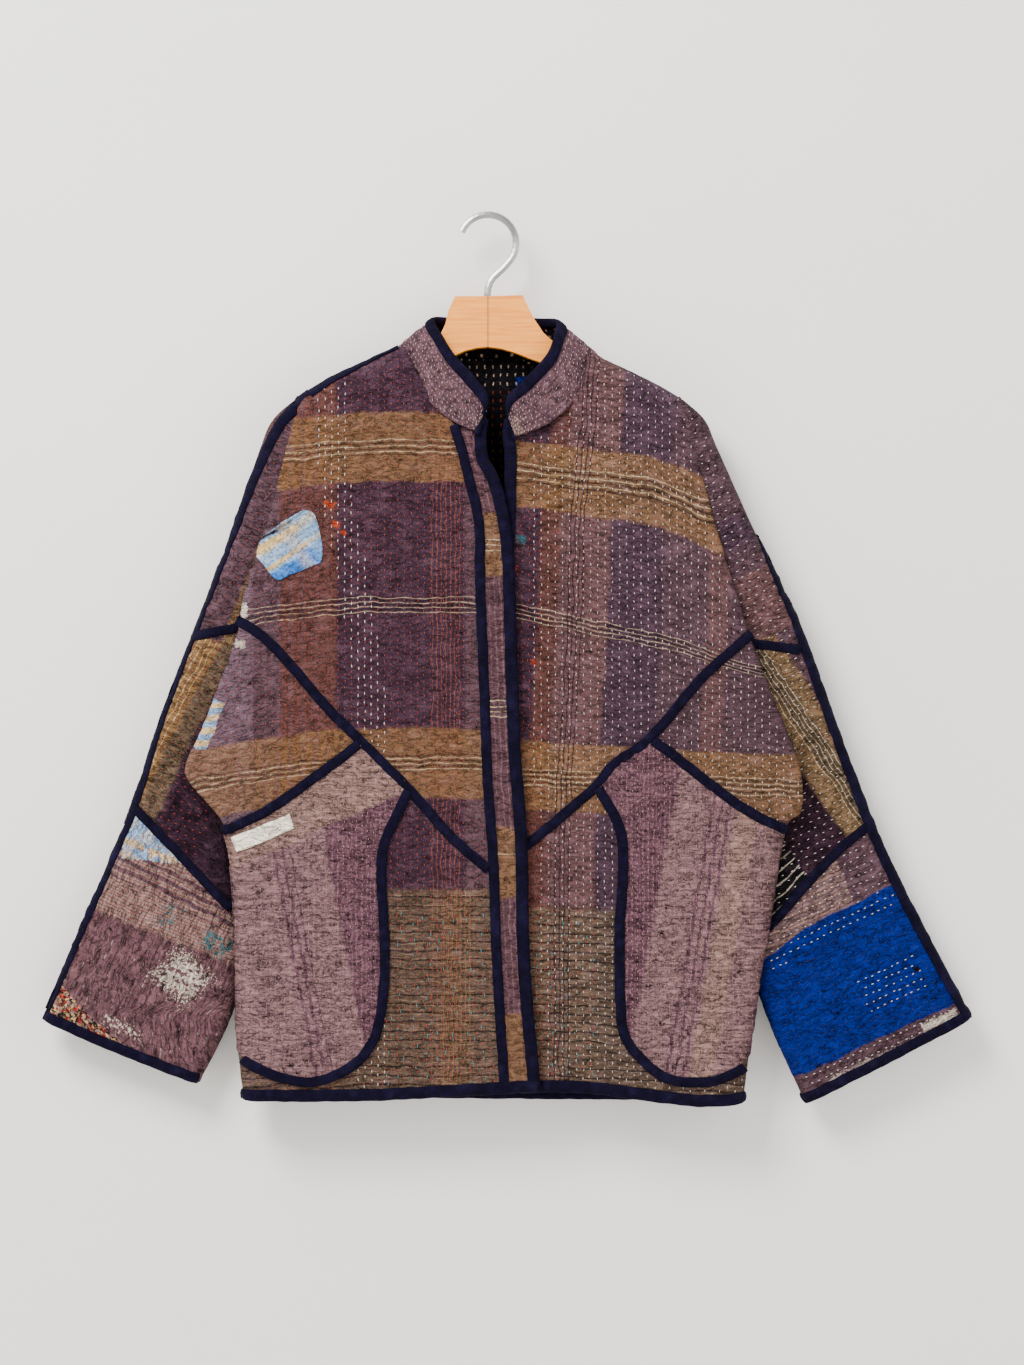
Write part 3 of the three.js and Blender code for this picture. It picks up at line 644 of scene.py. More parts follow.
class Cloth:
    """One cotton, dyed layer by layer over its weave: u goes across and v up, in millimetres."""

    def __init__(self, name, colour):
        self.material, self.tree = bare_material(name)
        laid = scaled_by(self.tree, node(self.tree, "UVMap", uv_map="weave").outputs[0], 1 / MM)
        wander = node(self.tree, "TexNoise", {"Vector": laid, "Scale": 0.05, "Detail": 3.0}).outputs["Color"]
        nudge = scaled_by(self.tree, vector_calc(self.tree, "SUBTRACT", wander, (0.5, 0.5, 0.5)), WANDER)
        self.weave = vector_calc(self.tree, "ADD", laid, nudge)
        self.u, self.v = node(self.tree, "SeparateXYZ", {0: self.weave}).outputs[:2]
        self.colour = colour

    def group(self, tree, **values):
        made = node(self.tree, "Group", node_tree=tree)
        for key, value in values.items():
            put(self.tree, made.inputs[key], value)
        return made.outputs

    def band(self, along, start, end, soft=1.5):
        return self.group(BAND, Along=along, Start=start, End=end, Soft=soft)["Mask"]

    def lines(self, along, pitch, share=0.3):
        return self.group(LINES, Along=along, Pitch=pitch, Share=share)["Mask"]

    def scrap(self, x, z, wide, tall, turn=0.0, fray=1.0):
        return self.group(SCRAP, Weave=self.weave, Middle=(x, z, 0), Size=(wide / 2, tall / 2, 1e3),
                          Turn=turn, Fray=fray)["Mask"]

    def specks(self, size, least):
        """Blots about so many millimetres across, more of them as the least share falls from 0.6."""
        return span(self.tree, mottle(self.tree, self.weave, 1 / size), least - 0.02, least + 0.02)

    def leaning(self, along, other, lean):
        """The place along the weave, leaning by a share of the other way."""
        return plus(self.tree, along, times(self.tree, other, lean))

    def both(self, *masks):
        total = masks[0]
        for mask in masks[1:]:
            total = times(self.tree, total, mask)
        return total

    def over(self, colour, *masks):
        """Lays a colour over what is there, where all the masks are 1."""
        self.colour = blend_colours(self.tree, self.colour, colour, self.both(*masks))
        return self

    def stripes(self, along, stops, share=1.0, *masks, soft=1.5):
        """Bands of many colours: stops are (place, colour), each colour running on to the next place."""
        low, high = stops[0][0] - 10.0, stops[-1][0] + 10.0
        edges = [(low, stops[0][1])]
        for (_, before), (start, after) in zip(stops, stops[1:]):
            edges += [(start - soft, before), (start + soft, after)]
        place = span(self.tree, along, low, high)
        bands = ramp(self.tree, place, [((s - low) / (high - low), c) for s, c in edges])
        return self.over(bands, share, *masks)

    def cluster(self, along, start, end, pitch, colour, strength=0.7, share=0.3, *masks):
        """A group of thin lines."""
        thin = self.lines(along, pitch, share)
        return self.over(colour, self.band(along, start, end, 0.8), thin, strength, *masks)

    def finish(self, slub=0.4, blotch=0.34, worn=(0.0, (1, 1, 1, 1)), bump=0.8, rough=0.92, pucker=1.0,
               gather=(0.105, 0.26, 1)):
        """Weaves the dyed cloth and multiplies in painted shade from the quilting, puckers and creases; worn
        is (share, colour) of its faded threads; pucker sets both the puckers' bump and their painted shade.
        """
        # The ridge attribute is the quilting ripple written on each mesh; the weave group paints it as shade
        # and as wear on the crowns.
        ridge = node(self.tree, "Attribute", attribute_name="ridge").outputs["Fac"]
        weave = self.group(WEAVE_AND_SHADE, Weave=self.weave, Ridge=ridge, Slub=slub, Blotch=blotch, Pucker=pucker,
                           Gather=gather)
        faded = blend_colours(self.tree, self.colour, worn[1], times(self.tree, weave["Worn"], worn[0]))
        # Painted shade: the weave group's first output, the threads' tone times painted shade, is multiplied
        # into the colour.
        grey = node(self.tree, "CombineColor", {channel: weave["Shade"] for channel in range(3)}).outputs[0]
        shaded = blend_colours(self.tree, faded, grey, 1.0, "MULTIPLY")
        raised = relief(self.tree, weave["Height"], bump, 0.0012)
        shown(self.tree, surface(self.tree, Base_Color=shaded, Normal=raised, Roughness=rough,
                                 Specular_IOR_Level=0.08))
        return self.material


# ------------------------------------------------------------------ the cottons
AUBERGINE = dye(53, 34, 45)
MAUVE = dye(70, 50, 57)
GREY_MAUVE = dye(86, 66, 75)
RUSSET = dye(77, 47, 43)
ROSE = dye(84, 58, 59)
PLUM = dye(60, 42, 53)
DARK_PLUM = dye(38, 21, 32)
GOLD = dye(113, 82, 49)
OLIVE = dye(86, 70, 54)
CREAM = dye(177, 165, 150)
PALE_PINK = dye(110, 82, 85)
BEIGE = dye(124, 97, 89)
COBALT = dye(0, 23, 100)
SKY = dye(119, 148, 179)
STRAW = dye(186, 155, 101)
INK = dye(12, 10, 14)
NAVY = dye(9, 5, 26)
RUST = dye(148, 52, 21)
TEAL = dye(26, 88, 94)
BRONZE = dye(98, 76, 54)
ORANGE_LINE = dye(128, 72, 50)
PALE_LINE = dye(166, 148, 118)
POCKET_PLUM = dye(80, 50, 64)


def gold_bands(cloth, places, share, *masks):
    for start, end in places:
        cloth.over(GOLD, cloth.band(cloth.v, start, end, 3.0), share, *masks)


def body_cotton(name, warp, gold, clusters, olive):
    """The plaid: coloured warp, golden weft bands with pale lines, and an olive striped foot."""
    cloth = Cloth(name, MAUVE)
    cloth.stripes(cloth.u, warp, 1.0)
    gold_bands(cloth, gold, 0.62)
    for start, end, pitch in clusters:
        between = cloth.lines(plus(cloth.tree, cloth.v, pitch / 2), pitch, 0.3)
        cloth.cluster(cloth.v, start, end, pitch, PALE_LINE, 0.8, 0.12)
        cloth.over(INK, cloth.band(cloth.v, start, end, 0.8), between, 0.6)
    foot = cloth.band(cloth.v, -2000, olive, 6.0)
    cloth.over(OLIVE, foot, 0.72)
    cloth.over(INK, foot, cloth.lines(cloth.v, 8.4, 0.16), 0.85)
    cloth.over(GOLD, foot, cloth.band(cloth.u, -44, -14), cloth.lines(cloth.u, 4.0, 0.24), 0.7)
    cloth.over(PALE_LINE, foot, cloth.lines(cloth.v, 4.5, 0.1), cloth.specks(6.0, 0.5), 0.3)
    return cloth


def right_front_cotton():
    warp = [(-300, GREY_MAUVE), (-222, MAUVE), (-196, RUSSET), (-143, AUBERGINE), (-52, AUBERGINE),
            (-22, MAUVE), (70, MAUVE)]
    cloth = body_cotton("plaid of the right front", warp, [(-252, -187), (-550, -484)],
                        [(-228, -211, 6.0), (-376, -359, 4.6), (-524, -509, 5.2)], -636)
    cloth.cluster(cloth.u, -56, -24, 4.2, ORANGE_LINE, 0.45, 0.2)
    cloth.cluster(cloth.u, -240, -150, 12.0, GREY_MAUVE, 0.2, 0.3)
    cloth.over(CREAM, cloth.scrap(-229, -362, 6, 16, 0.2, 1.4), 0.9)
    cloth.over(CREAM, cloth.scrap(-233, -391, 8, 8, 0.2, 1.4), 0.8)
    sliver = cloth.scrap(-262, -462, 12, 46, 0.4, 1.0)
    cloth.over(SKY, sliver, 0.9)
    cloth.over(STRAW, sliver, cloth.lines(cloth.v, 11.0, 0.5), 0.9)
    for x, z, wide, tall in ((-150, -271, 9, 6), (-195, -289, 7, 5), (-143, -290, 8, 6), (-137, -299, 5, 4)):
        cloth.over(RUST, cloth.scrap(x, z, wide, tall, 0.3), 0.8)
    return cloth.finish(worn=(0.5, GREY_MAUVE))


def left_front_cotton():
    warp = [(-40, AUBERGINE), (62, RUSSET), (80, ROSE), (128, PLUM), (178, MAUVE), (221, ROSE), (241, MAUVE),
            (310, MAUVE)]
    cloth = body_cotton("plaid of the left front", warp, [(-275, -214), (-561, -496)],
                        [(-254, -232, 7.0), (-382, -366, 4.4), (-540, -522, 5.0)], -652)
    cloth.cluster(cloth.u, 86, 105, 4.4, DARK_PLUM, 0.85, 0.26)
    cloth.over(TEAL, cloth.scrap(44, -306, 9, 8), 0.5)
    for x, z in ((30, -307), (37, -335), (60, -420)):
        cloth.over(RUST, cloth.scrap(x, z, 6, 6), 0.6)
    return cloth.finish(slub=0.4, worn=(0.55, GREY_MAUVE))


def back_cotton():
    warp = [(-340, RUSSET), (-160, AUBERGINE), (-120, MAUVE), (-60, RUSSET), (-20, PLUM), (60, RUSSET),
            (120, PLUM), (180, GREY_MAUVE), (230, MAUVE), (330, MAUVE)]
    cloth = body_cotton("plaid of the back", warp, [(-252, -190), (-560, -495)],
                        [(-230, -212, 6.0), (-380, -362, 4.6), (-530, -515, 5.0)], -645)
    return cloth.finish(worn=(0.5, GREY_MAUVE))


def right_sleeve_cotton():
    """Stripes run along the sleeve: u is 0 at the overarm seam and negative inside it; v grows downwards."""
    cloth = Cloth("plaid of the right sleeve", MAUVE)
    cloth.stripes(cloth.u, [(-120, AUBERGINE), (-42, BRONZE), (-26, MAUVE), (6, RUSSET), (40, RUSSET)])
    cloth.cluster(cloth.u, -42, -34, 4.0, PALE_LINE, 0.6, 0.16)
    below_ring = cloth.band(cloth.v, 240, 2000, 3.0)
    slanted = less(cloth.tree, cloth.u, times(cloth.tree, cloth.v, 0.13))
    cloth.stripes(slanted, [(-300, DARK_PLUM), (-82, AUBERGINE), (-76, OLIVE), (-58, GOLD), (-36, RUSSET),
                            (20, MAUVE), (60, MAUVE)], below_ring)
    cloth.cluster(slanted, -56, -38, 4.6, PALE_LINE, 0.7, 0.16, below_ring)
    cloth.over(DARK_PLUM, cloth.lines(cloth.v, 9.0, 0.3), below_ring, 0.3)
    return cloth.finish(slub=0.4, worn=(0.3, GREY_MAUVE), pucker=1.2)


def left_sleeve_cotton():
    cloth = Cloth("plaid of the left sleeve", ROSE)
    cloth.stripes(cloth.v, [(-60, MAUVE), (120, PLUM), (150, MAUVE), (176, ROSE), (800, ROSE)])
    cloth.cluster(cloth.v, 120, 160, 10.0, PLUM, 0.35, 0.4)
    below_ring = cloth.band(cloth.v, 238, 2000, 3.0)
    slanted = less(cloth.tree, cloth.u, times(cloth.tree, cloth.v, 0.237))
    cloth.stripes(slanted, [(-400, DARK_PLUM), (-125, BRONZE), (-104, OLIVE), (-88, BRONZE), (-74, MAUVE),
                            (60, MAUVE)], below_ring)
    cloth.over(INK, cloth.band(slanted, -106, -90, 1.0), below_ring, 0.36)
    cloth.cluster(slanted, -108, -88, 4.2, PALE_LINE, 0.85, 0.14, below_ring)
    black = cloth.both(cloth.band(cloth.leaning(cloth.u, cloth.v, -0.24), -600, -178),
                       cloth.band(cloth.v, 418, 900))
    cloth.over(INK, black)
    cloth.over(CREAM, black, cloth.lines(cloth.leaning(cloth.v, cloth.u, 0.36), 8.5, 0.12))
    return cloth.finish(slub=0.4, worn=(0.3, GREY_MAUVE), pucker=1.2)


CUFF_CHANGE = 518.0      # where the right cuff turns from pale to rosy, measured down the sleeve


def right_cuff_cotton():
    cloth = Cloth("rose cotton of the right cuff", MAUVE)
    rosy = dye(90, 62, 66)
    cloth.stripes(cloth.v, [(380, PALE_PINK), (446, BEIGE), (CUFF_CHANGE, rosy), (760, rosy)])
    slanted = cloth.leaning(cloth.v, cloth.u, 0.08)
    cloth.over(PLUM, cloth.band(slanted, 453, 481), cloth.lines(slanted, 9.0, 0.4), 0.85)
    pale = cloth.band(cloth.v, 380, CUFF_CHANGE)
    cloth.over(PLUM, pale, cloth.lines(cloth.v, 3.0, 0.3), 0.6)
    cloth.over(PLUM, pale, cloth.lines(cloth.u, 4.3, 0.2), 0.4)
    # Painted shade: dark lines in the valleys between the quilting ridges that run along the lower cuff.
    cloth.over(DARK_PLUM, cloth.band(cloth.v, CUFF_CHANGE, 900), cloth.lines(cloth.u, 8.6, 0.2), 0.4)
    patch = cloth.scrap(-30, 430, 62, 50, -0.3)
    cloth.over(SKY, patch, 0.95)
    cloth.over(CREAM, patch, cloth.specks(16.0, 0.52), 0.5)
    cloth.over(STRAW, patch, cloth.band(cloth.v, 444, 470), cloth.specks(9.0, 0.5), 0.8)
    cloth.over(TEAL, cloth.scrap(-120, 505, 26, 17, 0.2, 2.6), cloth.specks(5.0, 0.47), 0.8)
    cloth.over(TEAL, cloth.scrap(-70, 498, 18, 26, 0.2, 2.6), cloth.specks(4.0, 0.54), 0.6)
    cloth.over(CREAM, cloth.scrap(-104, 546, 40, 34, 0.4, 9.0), cloth.specks(4.4, 0.44), 0.85)
    cloth.over(CREAM, cloth.scrap(-70, 612, 34, 7, 0.1, 5.0), cloth.specks(3.0, 0.52), 0.8)
    cloth.over(CREAM, cloth.band(cloth.v, 540, 640), cloth.lines(cloth.u, 8.6, 0.06),
               cloth.specks(7.0, 0.6), 0.6)
    corner = cloth.band(cloth.leaning(cloth.v, cloth.u, 0.42), 596, 900)
    cloth.over(BEIGE, corner, 0.95)
    cloth.over(INK, corner, cloth.specks(3.4, 0.5), 0.95)
    cloth.over(dye(128, 22, 20), corner, cloth.specks(5.0, 0.56), 0.95)
    cloth.over(STRAW, corner, cloth.specks(2.6, 0.58), 0.8)
    return cloth.finish(slub=0.45, worn=(0.3, PALE_PINK), pucker=1.2, gather=(0.24, 0.07, 1))


PATCH_TOP = 501.0        # the cobalt patch, measured down the left sleeve
PATCH_FOOT = 627.0
PATCH_SHOULDER = 63.0    # how far in from the overarm its top edge starts to fall
PATCH_BEND = 0.0023      # how fast it then falls away towards the underarm


def left_cuff_cotton():
    cloth = Cloth("blue and mauve cotton of the left cuff", MAUVE)
    above = cloth.band(cloth.v, 300, 520, 3.0)
    cloth.over(BEIGE, above, cloth.band(cloth.u, -300, -38), 0.8)
    cloth.over(PLUM, cloth.lines(cloth.v, 3.6, 0.4), above, cloth.band(cloth.u, -300, -30), 0.55)
    cloth.cluster(cloth.v, 470, 520, 9.0, GREY_MAUVE, 0.5, 0.4)
    past = times(cloth.tree, plus(cloth.tree, cloth.u, PATCH_SHOULDER), -1.0)
    inward = calc(cloth.tree, "MAXIMUM", past, 0.0)
    falling = times(cloth.tree, inward, inward)
    cloth.over(COBALT, cloth.band(cloth.leaning(cloth.v, falling, -PATCH_BEND), PATCH_TOP, 900),
               cloth.band(cloth.v, 300, PATCH_FOOT))
    cloth.over(CREAM, cloth.scrap(-18, 636, 36, 9, 0.0, 1.6), 0.8)
    cloth.over(CREAM, cloth.scrap(-90, 642, 90, 4, 0.0, 2.6), 0.4)
    cloth.over(INK, cloth.scrap(-14, 582, 6, 5, 0.0, 1.0))
    return cloth.finish(slub=0.36, blotch=0.4, worn=(0.06, PALE_PINK), pucker=1.2)


def right_pocket_cotton():
    cloth = Cloth("rose cotton of the right pocket", PALE_PINK)
    leaning = cloth.leaning(cloth.u, cloth.v, 0.19)
    cloth.stripes(leaning, [(-500, PALE_PINK), (-266, POCKET_PLUM), (-100, POCKET_PLUM)], 0.9)
    cloth.cluster(leaning, -322, -300, 8.0, POCKET_PLUM, 0.85, 0.4)
    cloth.over(BEIGE, cloth.lines(cloth.u, 4.5, 0.3), 0.3)
    cloth.over(BEIGE, cloth.band(cloth.leaning(cloth.v, cloth.u, -0.45), -508, -200, 3.0), 0.85)
    cloth.over(PLUM, cloth.lines(cloth.v, 6.0, 0.2), 0.36)
    return cloth.finish(slub=0.7, blotch=0.5, worn=(0.3, BEIGE), pucker=1.2)


def left_pocket_cotton():
    cloth = Cloth("rose cotton of the left pocket", PALE_PINK)
    leaning = cloth.leaning(cloth.u, cloth.v, -0.174)
    cloth.stripes(leaning, [(100, POCKET_PLUM), (270, PALE_PINK), (330, BEIGE), (352, PALE_PINK),
                            (378, POCKET_PLUM), (500, POCKET_PLUM)], 0.9)
    cloth.cluster(leaning, 302, 328, 8.0, POCKET_PLUM, 0.85, 0.4)
    cloth.over(BEIGE, cloth.lines(cloth.u, 4.0, 0.3), 0.3)
    cloth.over(PLUM, cloth.lines(cloth.v, 5.5, 0.2), 0.36)
    return cloth.finish(slub=0.7, blotch=0.5, worn=(0.3, BEIGE), pucker=1.2)


def placket_cotton():
    cloth = Cloth("plaid of the placket", dye(74, 50, 56))
    cloth.over(PALE_PINK, cloth.lines(cloth.u, 5.4, 0.2), cloth.band(cloth.u, 8, 40), 0.6)
    gold_bands(cloth, [(-341, -282), (-643, -577), (-819, -753)], 0.62)
    cloth.cluster(cloth.v, -318, -304, 5.0, PALE_LINE, 0.8, 0.2)
    cloth.cluster(cloth.v, -474, -455, 5.0, PALE_LINE, 0.9, 0.2)
    cloth.cluster(cloth.v, -604, -598, 5.0, PALE_LINE, 0.8, 0.2)
    return cloth.finish(worn=(0.4, GREY_MAUVE))


def collar_cotton():
    cloth = Cloth("grey mauve cotton of the collar", dye(84, 60, 68))
    cloth.cluster(cloth.u, -400, 900, 16.0, ROSE, 0.4, 0.4)
    light_end = cloth.both(cloth.band(cloth.u, 404, 600, 4.0), cloth.band(cloth.v, -50, 26, 4.0))
    cloth.over(BEIGE, light_end, 0.7)
    cloth.over(PLUM, light_end, cloth.lines(cloth.leaning(cloth.u, cloth.v, 0.6), 3.2, 0.2), 0.6)
    return cloth.finish(slub=0.4, blotch=0.5, worn=(0.5, PALE_PINK))


def chest_patch_cotton():
    cloth = Cloth("striped scrap of the chest patch", CREAM)
    blue = dye(52, 108, 178)
    cloth.stripes(cloth.v, [(-60, blue), (-12, SKY), (-9, STRAW), (-5, SKY), (6, CREAM), (9, STRAW),
                            (15, SKY), (17, NAVY), (20, SKY), (60, SKY)], soft=0.8)
    cloth.over(CREAM, cloth.band(cloth.u, -2, 9, 8.0), 0.5)
    cloth.over(SKY, cloth.band(cloth.u, 14, 60, 5.0), 0.5)
    cloth.over(PLUM, cloth.lines(cloth.v, 6.0, 0.3), cloth.lines(cloth.u, 5.0, 0.3), 0.5)
    return cloth.finish(slub=0.5, worn=(0.3, CREAM), pucker=0.7)


def lining_cotton():
    cloth = Cloth("black reverse cloth", INK)
    cloth.over(COBALT, cloth.scrap(43, -172, 34, 44))
    dash = cloth.both(cloth.lines(cloth.u, 7.4, 0.12), cloth.lines(cloth.v, 8.0, 0.34))
    cloth.over(RUST, dash, 0.8)
    cloth.over(CREAM, dash, cloth.band(cloth.v, -160, 2000), 0.85)
    return cloth.finish(slub=0.3, blotch=0.3, worn=(0.2, MAUVE))


def tape_cotton():
    cloth = Cloth("navy binding tape", NAVY)
    cloth.over(INK, cloth.lines(cloth.v, 9.0, 0.3), 0.4)
    return cloth.finish(slub=0.6, blotch=0.5, worn=(0.05, dye(60, 56, 96)), bump=0.5, rough=0.95, pucker=0.4)


def label_cotton():
    cloth = Cloth("cream woven label", dye(226, 214, 196))
    return cloth.finish(slub=0.2, blotch=0.16, worn=(0.2, GREY_MAUVE))


def thread(name, colour):
    """Twisted sewing thread, with painted shade: darker where the twist's bump is low."""
    material, tree = bare_material(name)
    place = own_place(tree)
    twist = mottle(tree, place, 420.0)
    far = mottle(tree, place, 22.0)
    share = plus(tree, times(tree, twist, 0.5), times(tree, far, 0.5))
    # Painted shade: the ramp runs from a darkened copy of the thread colour where the twist noise, and so the
    # bump, is low, up to the full colour.
    shade = ramp(tree, share, [(0.32, shaded_dye(colour, 0.55)), (0.62, colour)])
    shown(tree, surface(tree, Base_Color=shade, Normal=relief(tree, twist, 0.3, 0.0004), Roughness=0.7))
    return material


def beech_wood():
    material, tree = bare_material("beech")
    place = own_place(tree)
    stretched = {"Vector": place, "Rotation": (0, 0.2, 0), "Scale": (26, 60, 420)}
    long_way = node(tree, "Mapping", stretched).outputs[0]
    grain = mottle(tree, long_way, 1.0, 5.0, 0.6)
    flecks = mottle(tree, long_way, 9.0)
    wood = ramp(tree, grain, [(0.25, dye(222, 126, 26)), (0.5, dye(244, 150, 38)), (0.75, dye(252, 164, 50))])
    sideways = plus(tree, node(tree, "SeparateXYZ", {0: place}).outputs[0], 0.0008)
    seam = calc(tree, "LESS_THAN", calc(tree, "ABSOLUTE", sideways), 0.0012)
    joined = blend_colours(tree, wood, dye(120, 80, 52), times(tree, seam, 0.35))
    flecked = times(tree, calc(tree, "GREATER_THAN", flecks, 0.66), 0.5)
    colour = blend_colours(tree, joined, dye(176, 120, 80), flecked)
    shown(tree, surface(tree, Base_Color=colour, Normal=relief(tree, grain, 0.2, 0.0005),
                        Roughness=span(tree, grain, 0.0, 1.0, 0.38, 0.55)))
    return material


def satin_steel():
    material, tree = bare_material("satin steel")
    place = own_place(tree)
    drawn = mottle(tree, place, 260.0, 3.0)
    metal = ramp(tree, mottle(tree, place, 30.0), [(0.3, dye(128, 128, 130)), (0.7, dye(176, 176, 176))])
    shown(tree, surface(tree, Base_Color=metal, Roughness=span(tree, drawn, 0.0, 1.0, 0.26, 0.46),
                        Normal=relief(tree, drawn, 0.06, 0.0002), Metallic=1.0))
    return material


LINING = lining_cotton()
TAPE = tape_cotton()
WHITE_THREAD = thread("white thread", dye(212, 202, 192))
RED_THREAD = thread("red thread", dye(158, 48, 32))
PINK_THREAD = thread("pink thread", dye(150, 118, 112))
PALE_THREAD = thread("pale thread", dye(186, 166, 160))
DARK_THREAD = thread("dark thread", dye(20, 14, 30))
TEAL_THREAD = thread("teal thread", dye(52, 128, 130))


# ------------------------------------------------------------------ the panels
CUTS = {}


def smallest_oblong(points):
    """Width and length of the smallest oblong, at any turn in 5 degree steps, that the points fit."""
    found = []
    for step in range(18):
        cosine, sine = math.cos(math.radians(5 * step)), math.sin(math.radians(5 * step))
        across = [x * cosine + z * sine for x, z in points]
        along = [z * cosine - x * sine for x, z in points]
        found.append((max(across) - min(across), max(along) - min(along)))
    return min(found, key=lambda sides: sides[0] * sides[1])


def register(piece, flat_bm, held, rests_on):
    """Keeps a sheet's own cut: the oblong and the area of the cloth as it was drawn flat."""
    area = sum(f.calc_area() for f in flat_bm.faces)
    CUTS[piece.name] = {"piece": piece, "size": smallest_oblong([(v.co.x, v.co.z) for v in flat_bm.verts]),
                        "area": area, "held": held, "rests_on": rests_on, "going": []}


def panel(name, flat, sheet, threads, material, nodes, lift=CLOTH, thickness=CLOTH, held="hung",
          rests_on=("hanger_right",), lining=True):
    """Hangs a flat cloth, gives it its wall, and remembers its cut."""
    drawn = flat.copy()
    hang(flat, sheet, threads, lift)
    materials = [material, LINING] if lining else [material]
    piece = new_piece(name, flat, materials, nodes)
    wall(piece, thickness, lining)
    register(piece, drawn, held, rests_on)
    drawn.free()
    return piece


def goes_with(cut, piece):
    CUTS[cut.name]["going"].append(piece)
    return piece


def bent_right(x, z):
    past = max(0.0, abs(x) - 110) / 155
    return x, z + 19 * past ** 1.5


def bent_left(x, z):
    """The weft runs downhill across the front, and steeper again past a crease."""
    slope = mix(mix(0.115, 0.22, smooth(-230, -390, z)), 0.04, smooth(-400, -530, z))
    crease = mix(150, 184, smooth(-230, -390, z))
    extra = 0.26 * (1 - smooth(-400, -500, z))
    lean = 14 * smooth(-150, -320, z) + 14 * smooth(-320, -620, z)
    return x + lean, z + slope * (x - 30) + extra * max(0.0, x - crease)


def down_sleeve(s):
    """Gives a function that says how far a point lies out from the overarm seam and down the sleeve."""
    start, end = Vector(s.outer.points[0]), Vector(s.outer.points[-1])
    axis = (end - start).normalized()
    seam, inset = (s.tape, 0.0) if s is RIGHT else (s.outer, 8.0)

    def threads(x, z):
        across = s.out * (x - seam.x(z)) * seam.lean(z) + inset
        return across, (Vector((x, z)) - start).dot(axis)

    return threads


def unbent(x, z):
    return x, z


BENT = {RIGHT: bent_right, LEFT: bent_left}


def body_front(s, material):
    """The part of a front above its diagonal seam, and the part below."""
    if s is RIGHT:
        top = Line((-31, -196), (-48, -180), (-61, -160), (-72, -139), (-81, -123), (-108, -135),
                   (-139, -149), (-164, -163), (-182, -174))
        foot = Line((15, -826), (-25, -828), (-124, -833), (-230, -833))
        near = PLACKET_SEAM
    else:
        top = Line((15, -207), (38, -202), (57, -194), (78, -175), (90, -157), (97, -129), (118, -140),
                   (137, -149), (164, -163), (182, -174))
        foot = s.hem
        near = s.edge
    flat = flat_cloth((top, foot, near, s.flap), BODY_PITCH, tight_ends)
    upper = cut(flat, lambda x, z: z > s.diagonal.z(x))
    lower = cut(flat, lambda x, z: z <= s.diagonal.z(x))
    flat.free()
    made = []
    for cloth, place, solid, below in ((upper, "above", "upper", f"hanger_{s.name}"),
                                       (lower, "below", "lower", f"{s.name}_front_above")):
        made.append(panel(f"{s.name}_front_{place}", cloth, FRONT[s], BENT[s], material,
                          (f"{s.name}_{solid}_front",), rests_on=(below,)))
    return made


def sleeve(s, sleeve_material, cuff_material):
    """The sleeve and the cuff, each in a front and a back; the body's back covers the top of the sleeve's."""
    start_in, start_out = s.inner.points[0], s.outer.points[0]
    start_middle = (start_in[0] + start_out[0]) / 2
    top = Line(start_in, (start_middle, s.shoulder.z(start_middle)), start_out)
    end_in, end_out = s.inner.points[-1], s.outer.points[-1]
    foot = Line(end_in, ((end_in[0] + end_out[0]) / 2, (end_in[1] + end_out[1]) / 2 + 2), end_out)
    threads = down_sleeve(s)
    made = {}
    for way, face in WAYS:
        def in_arm(x, z):
            bare = way < 0 or s.out * (x - s.armhole.x(z)) > -2 or z < CROTCH_Z - 1
            return z > s.cuff_seam.z(x) and bare

        flat = flat_cloth((top, foot, s.inner, s.outer), SLEEVE_PITCH if way < 0 else BACK_PITCH, tight_both)
        arm = cut(flat, in_arm)
        cuff = cut(flat, lambda x, z: s.cuff_hem.z(x) < z <= s.cuff_seam.z(x))
        flat.free()
        for what, cloth, material, slot, below in (
                ("sleeve", arm, sleeve_material, "plaid_quilt", f"hanger_{s.name}"),
                ("cuff", cuff, cuff_material, "rose_cotton" if s is RIGHT else "blue_cotton",
                 f"{s.name}_sleeve_{face}_cloth")):
            made[what, way] = panel(f"{s.name}_{what}_{face}_cloth", cloth, SLEEVE[s, way], threads, material,
                                    (f"{s.name}_{what}_{face}",), rests_on=(below,))
    return made


def back_panel(material):
    """The back's sheet and the back."""
    top = Line((-182, -174), (-164, -163), (-139, -149), (-108, -135), (-82, -123), (-60, -129), (0, -133),
               (64, -131), (98, -128), (118, -140), (137, -149), (164, -163), (182, -174))
    edges = []
    for s, crotch_x in ((RIGHT, -247), (LEFT, 277)):
        side = [(s.flap.x(z), z) for z in (-640, -700, -770, -833)]
        edges.append(Line(*s.armhole.points[:-1:8], (crotch_x, -590), *side, fine=4))
    foot = Line(edges[0].points[-1], (0, -836), edges[1].points[-1])
    flat = flat_cloth((top, foot, edges[0], edges[1]), BACK_PITCH, tight_both)
    middle = Sheet(lambda x, z: back_depth(RIGHT if x < 0 else LEFT, x, z), 1)
    return middle, panel("back_cloth", flat, middle, bent_right, material, ("back",),
                         rests_on=("hanger_right", "hanger_left"))


